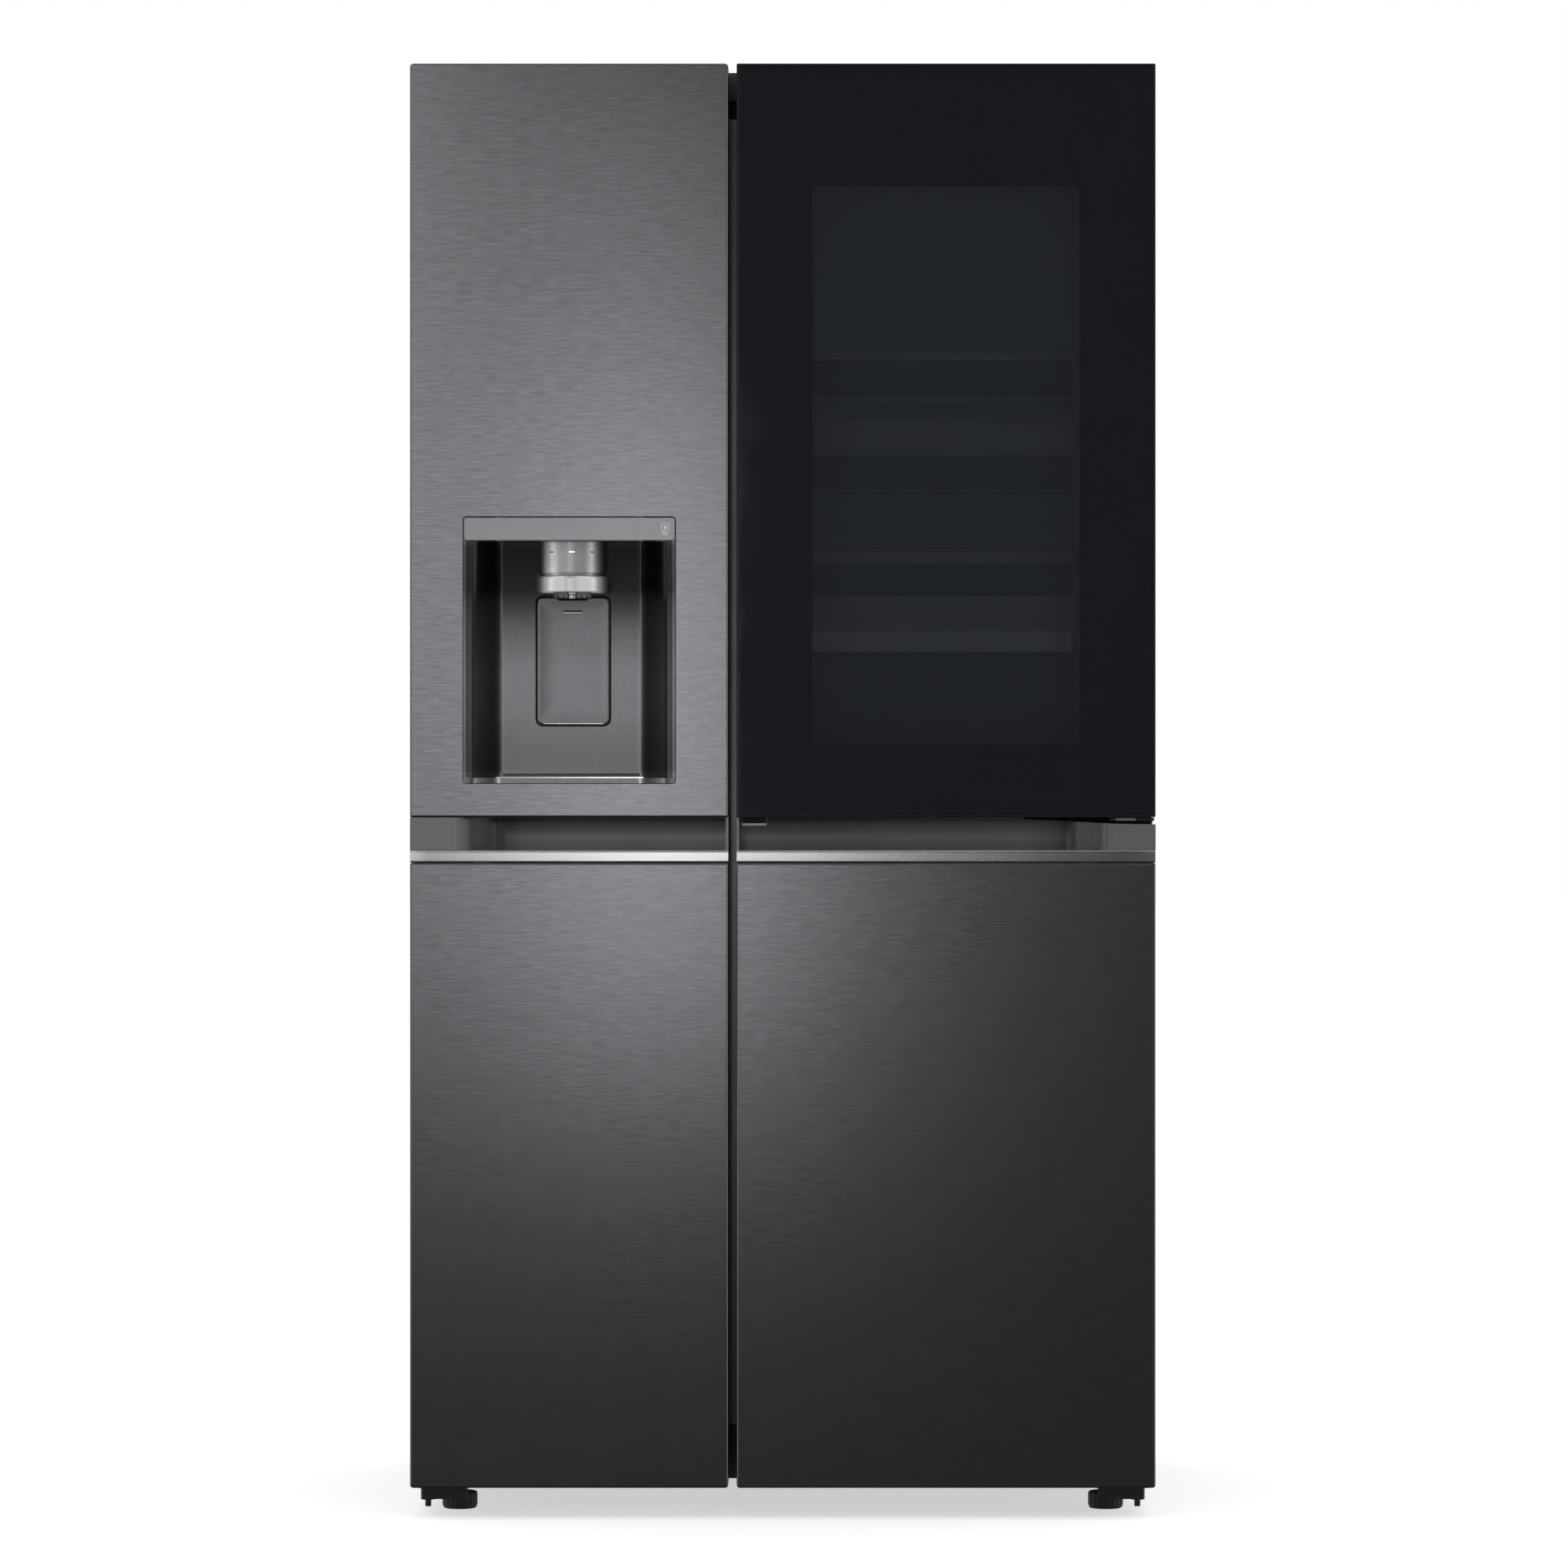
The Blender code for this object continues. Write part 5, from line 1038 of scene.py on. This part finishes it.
for node in ("freezer_shelf", "fridge_shelf_upper", "fridge_shelf_lower"):
    lo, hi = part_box(node)
    zt = hi.z - 0.0045
    glass = soft_box((lo.x + 0.0010, lo.y + 0.009, zt - 0.0050), (hi.x - 0.0010, hi.y - 0.0010, zt), 0.0012, 2)
    make(f"{node}_glass", glass, GLASS_CLEAR, "cabinet", 35.0, 0.0, 2, (node,))
    front = [(lo.y, lo.z + 0.003), (lo.y, hi.z - 0.0030), (lo.y + 0.0012, hi.z - 0.0008), (lo.y + 0.0035, hi.z), (lo.y + 0.0130, hi.z), (lo.y + 0.0138, hi.z - 0.0008), (lo.y + 0.0138, zt + 0.0002), (lo.y + 0.0085, zt + 0.0002), (lo.y + 0.0085, zt - 0.0052), (lo.y + 0.0138, zt - 0.0052), (lo.y + 0.0138, lo.z + 0.001), (lo.y + 0.0125, lo.z), (lo.y + 0.0030, lo.z), (lo.y + 0.0010, lo.z + 0.0010)]
    make(f"{node}_trim", prism(front, 0, lo.x, hi.x), WHITE_TRIM, "cabinet", 35.0, 0.0003, 2)
    lines = joined(*[prism([(lo.y + 0.0001, zz - 0.0006), (lo.y - 0.00005, zz - 0.0003), (lo.y - 0.00005, zz + 0.0003), (lo.y + 0.0001, zz + 0.0006)], 0, lo.x + 0.004, hi.x - 0.004) for zz in (lo.z + 0.0065,)])
    make(f"{node}_accent", lines, GREY_TRIM, "cabinet", 35.0)
    back = soft_box((lo.x + 0.0020, hi.y - 0.0100, zt - 0.0075), (hi.x - 0.0020, hi.y - 0.0002, zt + 0.0035), 0.0010, 2)
    cut_glass = box((lo.x - 0.01, hi.y - 0.02, zt - 0.0052), (hi.x + 0.01, hi.y - 0.0008, zt + 0.0002))
    make(f"{node}_back_trim", minus(back, cut_glass), WHITE_TRIM, "cabinet", 35.0, 0.0, 2)

# ------------------------------------------------------------------------------------------ cabinet
finish_cad(["outer_case"], CASE, 0.0004)
# the foam cores are near black, so they paint shade where they show through gaps, as between the case's header and the
# mullion
finish_cad(["insulation_core", "freezer_door_core", "fridge_door_core"], FOAM_PAINTED_SHADE)
finish_cad(["freezer_liner", "fridge_liner", "freezer_duct_cover"], LINER, 0.0010)
finish_cad(["freezer_door_liner"], LINER, 0.0008)
# the fridge door's frame is white inside and graphite on its outer sides
df_lo, df_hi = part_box("fridge_door_frame")
edge_x = (("X", ((df_lo.x + 0.0004, 0.07), (df_lo.x + 0.0012, 1.0), (df_hi.x - 0.0012, 1.0), (df_hi.x - 0.0004, 0.07))), ("Z", ((df_lo.z + 0.0004, 0.07), (df_lo.z + 0.0012, 1.0), (df_hi.z - 0.0012, 1.0), (df_hi.z - 0.0004, 0.07))))
FRAME_TWO_TONE = moulded("door_frame_two_tone", (0.76, 0.78, 0.79), 0.34, 0.0, 260.0, 0.04, 0.02, edge_x)
finish_cad(["fridge_door_frame"], FRAME_TWO_TONE, 0.0008)
finish_cad(["mullion_cover"], MULLION, 0.0004)
finish_cad(["evaporator"], ALU)
finish_cad(["compressor", "condenser"], BLACK_METAL)
finish_cad(["hinge_upper_left", "hinge_upper_right"], ZINC, 0.0004)
finish_cad(["hinge_lower_left", "hinge_lower_right", "glass_hinge_lower"], BLACK_METAL, 0.0004)
finish_cad(["hinge_cover_left", "hinge_cover_right"], BLACK, 0.0008)
finish_cad(["base_plate"], BLACK_METAL, 0.0003)
finish_cad(["condenser_fan"], BLACK, 0.0003)


def screw(at, axis=1, sign=1, r=0.0042, h=0.0009):
    """Round-headed screw with a cross slot, seated on a surface whose outward direction is sign along axis."""
    head = lathe([(0.0, 0.0), (r, 0.0), (r, h * 0.25), (r * 0.92, h * 0.6), (r * 0.7, h * 0.9), (r * 0.35, h), (0.0, h)], (0, 0, 0), 2, 24)
    cross = [box((-r * 0.55, -r * 0.12, h * 0.45), (r * 0.55, r * 0.12, h * 2)), box((-r * 0.12, -r * 0.55, h * 0.45), (r * 0.12, r * 0.55, h * 2))]
    bm = minus(head, *cross, self_overlap=True)
    if axis == 1:
        rot = Matrix.Rotation(math.radians(-90 * sign), 4, "X")
    elif axis == 2:
        rot = Matrix.Identity(4) if sign > 0 else Matrix.Rotation(math.pi, 4, "X")
    else:
        rot = Matrix.Rotation(math.radians(90 * sign), 4, "Y")
    bmesh.ops.transform(bm, matrix=Matrix.Translation(Vector(at)) @ rot, verts=bm.verts)
    return bm


# rear sheet: stamped fields with soft edges, and its screws
b_lo, b_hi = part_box("back_panel")
y_sheet = 0.3663
sheet = box((b_lo.x, b_lo.y, b_lo.z), (b_hi.x, y_sheet, b_hi.z))
fields = []
for cx in (-0.29, 0.0, 0.29):
    rows = []
    for d, y in ((0.0, y_sheet - 0.0004), (0.0, y_sheet), (0.0022, b_hi.y - 0.0002), (0.0035, b_hi.y)):
        rows.append([(x, y, z) for x, z in rounded(cx - 0.055 + d, cx + 0.055 - d, 0.36 + d, 1.70 - d, 0.022 - d, 8)])
    fields.append(loft(rows))
make("rear_sheet", plus(sheet, *fields), GALV, "cabinet", 30.0, 0.0, 2, ("back_panel",))
rear_screws = []
for sx in (-0.444, 0.444):
    for sz in (0.285, 0.60, 0.95, 1.30, 1.60, 1.765):
        rear_screws.append(screw((sx, y_sheet, sz), 1, 1, 0.0045, 0.0011))
for sx in (-0.22, 0.0, 0.22):
    rear_screws.append(screw((sx, y_sheet, 1.768), 1, 1, 0.0045, 0.0011))
make("rear_sheet_screws", joined(*rear_screws), ZINC, "cabinet", 35.0, 0.0, 2)

# machine cover with its louvres, screws, inlet gland and water fitting
m_lo, m_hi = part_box("machine_cover")
cover = box((m_lo.x, m_lo.y, m_lo.z), (m_hi.x, 0.3611, m_hi.z))
bmesh.ops.bevel(cover, geom=[e for e in cover.edges if abs((e.verts[1].co - e.verts[0].co).normalized().y) > 0.9], offset=0.008, segments=4, profile=0.5, affect="EDGES")
louvres = [prism(rounded(cx - 0.038, cx + 0.038, cz, cz + 0.006, 0.0029, 4), 1, 0.35, 0.37) for cx in (-0.20, -0.10, 0.0, 0.10) for cz in (0.085, 0.115, 0.145, 0.175, 0.205)]
ports = [cylinder(0.30, 0.085, 0.0042, 1, 0.35, 0.38, 32), cylinder(-0.33, 0.225, 0.0085, 1, 0.35, 0.38, 32)]
make("machine_cover_sheet", minus(cover, *louvres, *ports), BLACK, "cabinet", 30.0, 0.0003, 2, ("machine_cover",))
hoods = []
for cx in (-0.20, -0.10, 0.0, 0.10):
    for cz in (0.085, 0.115, 0.145, 0.175, 0.205):
        prof = [(0.3609, cz + 0.0060), (0.3609, cz + 0.0105), (0.3622, cz + 0.0095), (0.3634, cz + 0.0075), (0.3640, cz + 0.0050), (0.3634, cz + 0.0046), (0.3624, cz + 0.0060)]
        hoods.append(prism(prof, 0, cx - 0.037, cx + 0.037))
make("machine_cover_hoods", joined(*hoods), BLACK, "cabinet", 30.0, 0.0002, 1)
fit = [(0.0042, 0.3600), (0.0110, 0.3600), (0.0110, 0.3625), (0.0085, 0.3632), (0.0080, 0.3670), (0.0075, 0.3673), (0.0052, 0.3673), (0.0042, 0.3668)]
water = loft([[(0.30 + r * math.cos(t), y, 0.085 + r * math.sin(t)) for t in [2 * math.pi * i / 48 for i in range(48)]] for r, y in fit], closed=True)
make("water_inlet_fitting", water, WHITE_TRIM, "cabinet", 30.0, 0.0, 2)
gl = [(0.0085, 0.3600), (0.0140, 0.3600), (0.0140, 0.3640), (0.0130, 0.3650), (0.0125, 0.3672), (0.0115, 0.3673), (0.0092, 0.3673), (0.0085, 0.3668)]
gland = loft([[(-0.33 + r * math.cos(t), y, 0.225 + r * math.sin(t)) for t in [2 * math.pi * i / 48 for i in range(48)]] for r, y in gl], closed=True)
make("power_inlet_gland", gland, RUBBER, "cabinet", 30.0, 0.0, 2)
make("machine_cover_screws", joined(*[screw((sx, 0.3611, sz), 1, 1, 0.0040, 0.0011) for sx in (-0.428, 0.0, 0.428) for sz in (0.056, 0.252)]), ZINC, "cabinet", 35.0, 0.0, 2)

# feet, rollers
for side, word in ((-1, "left"), (1, "right")):
    lo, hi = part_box(f"foot_{word}")
    fx, fy = side * 0.4015, -0.236
    loops = []
    n = 120
    for r, z in ((0.0150, 0.0), (0.0188, 0.0), (0.0206, 0.0012), (0.0214, 0.0035), (0.0219, 0.0050), (0.0219, 0.0175), (0.0214, 0.0195), (0.0200, 0.0208), (0.0160, 0.0215), (0.0100, 0.0216)):
        pts = []
        for i in range(n):
            t = 2 * math.pi * i / n
            flute = 0.0010 * (0.5 + 0.5 * math.cos(20 * t)) if 0.003 < z < 0.020 else 0.0
            pts.append((fx + (r - flute) * math.cos(t), fy + (r - flute) * math.sin(t), z))
        loops.append(pts)
    knob = loft(loops)
    stem = []
    k = 0
    z = 0.0214
    while z < 0.0850:
        stem += [(0.0052, z), (0.0060, z + 0.0006), (0.0060, z + 0.0009)]
        z += 0.0015
    stem = [(0.0, 0.0210), (0.0052, 0.0210)] + stem + [(0.0052, 0.0856), (0.0, 0.0860)]
    threaded = lathe(stem, (fx, fy, 0.0), 2, 24)
    make(f"foot_{word}_knob", knob, BLACK, f"foot_{word}", 30.0, 0.0, 2, (f"foot_{word}",))
    make(f"foot_{word}_stem", threaded, ZINC, f"foot_{word}", 50.0, 0.0, 2)
    rx = side * 0.360
    prof = [(0.0034, -0.0100), (0.0075, -0.0100), (0.0080, -0.0085), (0.0135, -0.0085), (0.0145, -0.0100), (0.0165, -0.0100), (0.0177, -0.0092), (0.0180, -0.0078), (0.0180, 0.0078), (0.0177, 0.0092), (0.0165, 0.0100), (0.0145, 0.0100), (0.0135, 0.0085), (0.0080, 0.0085), (0.0075, 0.0100), (0.0034, 0.0100)]
    wheel = loft([[(rx + h, 0.300 + r * math.cos(t), 0.018 + r * math.sin(t)) for t in [2 * math.pi * i / 56 for i in range(56)]] for r, h in prof], closed=True)
    spokes = []
    for i in range(6):
        t = 2 * math.pi * i / 6
        holes = cylinder(0.300 + 0.0107 * math.cos(t), 0.018 + 0.0107 * math.sin(t), 0.0019, 0, rx - 0.02, rx + 0.02, 16)
        spokes.append(holes)
    make(f"roller_{word}_wheel", minus(wheel, *spokes), BLACK, f"roller_{word}", 30.0, 0.0, 2, (f"roller_{word}",))

# lamps, rails and vents inside
for word, node in (("freezer", "freezer_liner"), ("fridge", "fridge_liner")):
    lo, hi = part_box(node)
    x0, x1 = (-0.404, -0.092) if word == "freezer" else (-0.0316, 0.404)
    cx = (x0 + x1) / 2
    lamp = soft_box((cx - 0.075, -0.200, 1.7160), (cx + 0.075, -0.150, 1.7218), 0.0024, 3)
    make(f"{word}_ceiling_lamp", lamp, LAMP, "cabinet", 35.0, 0.0, 2)
    rim_l = [[(px, py, z) for px, py in rounded(cx - 0.080 + d, cx + 0.080 - d, -0.205 + d, -0.145 - d, 0.006, 5)] for d, z in ((0.0, 1.7218), (0.0, 1.7190), (0.0012, 1.7180), (0.0042, 1.7180), (0.0048, 1.7190), (0.0048, 1.7218))]
    make(f"{word}_lamp_rim", loft(rim_l, closed=True), WHITE_TRIM, "cabinet", 35.0)
    rails = []
    levels = [1.56, 1.42, 1.28] if word == "fridge" else [1.52, 1.34, 1.12]
    if word == "fridge":
        levels += [1.04, 0.90, 0.74]
    for z in levels:
        for a, b in ((x0 - 0.0002, x0 + 0.0052), (x1 - 0.0052, x1 + 0.0002)):
            rails.append(soft_box((a, -0.090, z - 0.0035), (b, 0.205, z + 0.0035), 0.0018, 2))
    make(f"{word}_wall_rails", joined(*rails), LINER, "cabinet", 40.0, 0.0, 2)

# cool-air column on the fridge's rear wall
col_loops = []
for d, y in ((0.0, 0.2999), (0.0, 0.2960), (0.0015, 0.2935), (0.0040, 0.2925)):
    col_loops.append([(x, y, z) for x, z in rounded(0.126 + d, 0.246 - d, 0.560 + d, 1.160 - d, 0.012, 6)])
column = loft(col_loops)
slits = [prism(rounded(0.150, 0.222, z, z + 0.005, 0.0024, 4), 1, 0.285, 0.2945) for z in (0.66, 0.672, 0.684, 0.86, 0.872, 0.884, 1.06, 1.072, 1.084)]
make("fridge_air_column", minus(column, *slits), LINER, "cabinet", 35.0, 0.0, 2)

# ------------------------------------------------------------------------------------------ stage
def glow(name):
    m = bpy.data.materials.new(name)
    m.use_nodes = True
    t = m.node_tree
    t.nodes.clear()
    out = t.nodes.new("ShaderNodeOutputMaterial")
    em = t.nodes.new("ShaderNodeEmission")
    t.links.new(em.outputs[0], out.inputs["Surface"])
    return m, t, em


def reflection_only(o):
    o.visible_camera = False
    o.visible_diffuse = False
    o.visible_shadow = False
    o.visible_transmission = False
    o.visible_volume_scatter = False


def soft_card(name, centre, size, strength, aim, edge=0.25):
    """Soft light card: a glowing rectangle whose brightness fades towards its edges."""
    bm = bmesh.new()
    bmesh.ops.create_grid(bm, x_segments=1, y_segments=1, size=0.5)
    mesh = bpy.data.meshes.new(name)
    bm.to_mesh(mesh)
    bm.free()
    m, t, em = glow(name)
    tc = t.nodes.new("ShaderNodeTexCoord")
    sep = t.nodes.new("ShaderNodeSeparateXYZ")
    t.links.new(tc.outputs["Object"], sep.inputs[0])
    fades = []
    for axis in ("X", "Y"):
        a = t.nodes.new("ShaderNodeMath")
        a.operation = "ABSOLUTE"
        t.links.new(sep.outputs[axis], a.inputs[0])
        r = t.nodes.new("ShaderNodeMapRange")
        r.interpolation_type = "SMOOTHSTEP"
        r.inputs["From Min"].default_value = 0.5
        r.inputs["From Max"].default_value = 0.5 - edge
        t.links.new(a.outputs[0], r.inputs["Value"])
        fades.append(r.outputs["Result"])
    k = t.nodes.new("ShaderNodeMath")
    k.operation = "MULTIPLY"
    t.links.new(fades[0], k.inputs[0])
    t.links.new(fades[1], k.inputs[1])
    k2 = t.nodes.new("ShaderNodeMath")
    k2.operation = "MULTIPLY"
    t.links.new(k.outputs[0], k2.inputs[0])
    k2.inputs[1].default_value = strength
    t.links.new(k2.outputs[0], em.inputs["Strength"])
    mesh.materials.append(m)
    o = bpy.data.objects.new(name, mesh)
    bpy.context.scene.collection.objects.link(o)
    d = (Vector(aim) - Vector(centre)).normalized()
    o.rotation_mode = "QUATERNION"
    o.rotation_quaternion = d.to_track_quat("Z", "Y")
    o.location = centre
    o.scale = (size[0], size[1], 1.0)
    reflection_only(o)
    return o


soft_card("card_key", (-0.347, -9.37, 1.115), (0.433, 1.977), 3.16, (-0.347, 0.0, 1.115), 0.123)
soft_card("card_key_upper", (-0.366, -9.38, 2.437), (0.418, 0.463), 1.58, (-0.366, 0.0, 2.437), 0.122)
soft_card("card_fill_left", (-1.762, -9.40, 2.634), (1.065, 4.725), 1.685, (-1.762, 0.0, 2.634), 0.08)

# pale dome round the set: dim behind the camera, where the cards are, and brighter to the sides, above and behind
dome_mesh = bpy.data.meshes.new("studio_dome")
bm = bmesh.new()
bmesh.ops.create_icosphere(bm, subdivisions=5, radius=15.0)
bm.to_mesh(dome_mesh)
bm.free()
dome_mat, t, em = glow("studio_dome")
tc = t.nodes.new("ShaderNodeTexCoord")
norm = t.nodes.new("ShaderNodeVectorMath")
norm.operation = "NORMALIZE"
t.links.new(tc.outputs["Object"], norm.inputs[0])
sep = t.nodes.new("ShaderNodeSeparateXYZ")
t.links.new(norm.outputs[0], sep.inputs[0])


def dome_ramp(socket, a, b, lo, hi):
    r = t.nodes.new("ShaderNodeMapRange")
    r.interpolation_type = "SMOOTHSTEP"
    for key, value in (("From Min", a), ("From Max", b), ("To Min", lo), ("To Max", hi)):
        r.inputs[key].default_value = value
    t.links.new(socket, r.inputs["Value"])
    return r.outputs["Result"]


side = t.nodes.new("ShaderNodeMath")
side.operation = "ABSOLUTE"
t.links.new(sep.outputs["X"], side.inputs[0])
front = t.nodes.new("ShaderNodeMath")
front.operation = "MULTIPLY"
t.links.new(dome_ramp(side.outputs[0], 0.15, 0.32, 0.0, 0.22), front.inputs[0])
t.links.new(dome_ramp(sep.outputs["Z"], -0.35, -0.12, 0.0, 1.0), front.inputs[1])
parts = [
    dome_ramp(sep.outputs["Z"], -0.20, 0.10, 0.02, 0.04),
    front.outputs[0],
    dome_ramp(sep.outputs["Y"], -0.55, -0.40, 0.0, 0.42),
    dome_ramp(sep.outputs["Y"], -0.26, -0.10, 0.0, -0.22),
    dome_ramp(sep.outputs["Y"], -0.05, 0.30, 0.0, 0.15),
    dome_ramp(sep.outputs["Z"], 0.35, 0.85, 0.0, 0.15),
    dome_ramp(sep.outputs["Z"], -0.75, -0.35, -0.60, 0.0),
]
total = parts[0]
for p in parts[1:]:
    add = t.nodes.new("ShaderNodeMath")
    add.operation = "ADD"
    t.links.new(total, add.inputs[0])
    t.links.new(p, add.inputs[1])
    total = add.outputs[0]
least = t.nodes.new("ShaderNodeMath")
least.operation = "MAXIMUM"
t.links.new(total, least.inputs[0])
least.inputs[1].default_value = 0.035
t.links.new(least.outputs[0], em.inputs["Strength"])
dome_mat.cycles.emission_sampling = "NONE"
dome_mesh.materials.append(dome_mat)
dome = bpy.data.objects.new("studio_dome", dome_mesh)
bpy.context.scene.collection.objects.link(dome)
dome.location = (0.0, 0.0, 1.0)
reflection_only(dome)

floor_mesh = bpy.data.meshes.new("floor")
bm = bmesh.new()
bmesh.ops.create_grid(bm, x_segments=1, y_segments=1, size=40.0)
bm.to_mesh(floor_mesh)
bm.free()
floor_t = Tree("floor_white", (0.62, 0.62, 0.62), 0.9)
slow = floor_t.noise(floor_t.mapped((0.8, 0.8, 0.8)), 1.0, 2.0, 0.5)
floor_t.color(floor_t.mix(slow, (0.60, 0.60, 0.60), (0.64, 0.64, 0.64)))
floor_t.b.inputs["Specular IOR Level"].default_value = 0.0
floor_t.b.inputs["Emission Color"].default_value = (1.0, 1.0, 1.0, 1.0)
floor_t.b.inputs["Emission Strength"].default_value = 0.58
floor_mesh.materials.append(floor_t.mat)
floor = bpy.data.objects.new("floor", floor_mesh)
bpy.context.scene.collection.objects.link(floor)
floor.location = (0.0, 0.0, -0.0002)
floor.visible_glossy = False

scene = bpy.context.scene
world = bpy.data.worlds.new("studio")
scene.world = world
world.use_nodes = True
world.node_tree.nodes["Background"].inputs["Color"].default_value = (1.0, 1.0, 1.0, 1.0)
world.node_tree.nodes["Background"].inputs["Strength"].default_value = 1.0
world.cycles_visibility.glossy = False
scene.view_settings.view_transform = "Standard"
scene.view_settings.look = "None"

cam_data = bpy.data.cameras.new("camera")
cam_data.sensor_fit = "HORIZONTAL"
cam_data.sensor_width = 36.0
cam_data.lens = 150.05
cam_data.clip_start, cam_data.clip_end = 0.1, 200.0
cam = bpy.data.objects.new("camera", cam_data)
scene.collection.objects.link(cam)
cam.location = (0.0015, -8.3675, 0.9001)
cam.rotation_euler = (math.radians(90.0), 0.0, 0.0)
scene.camera = cam
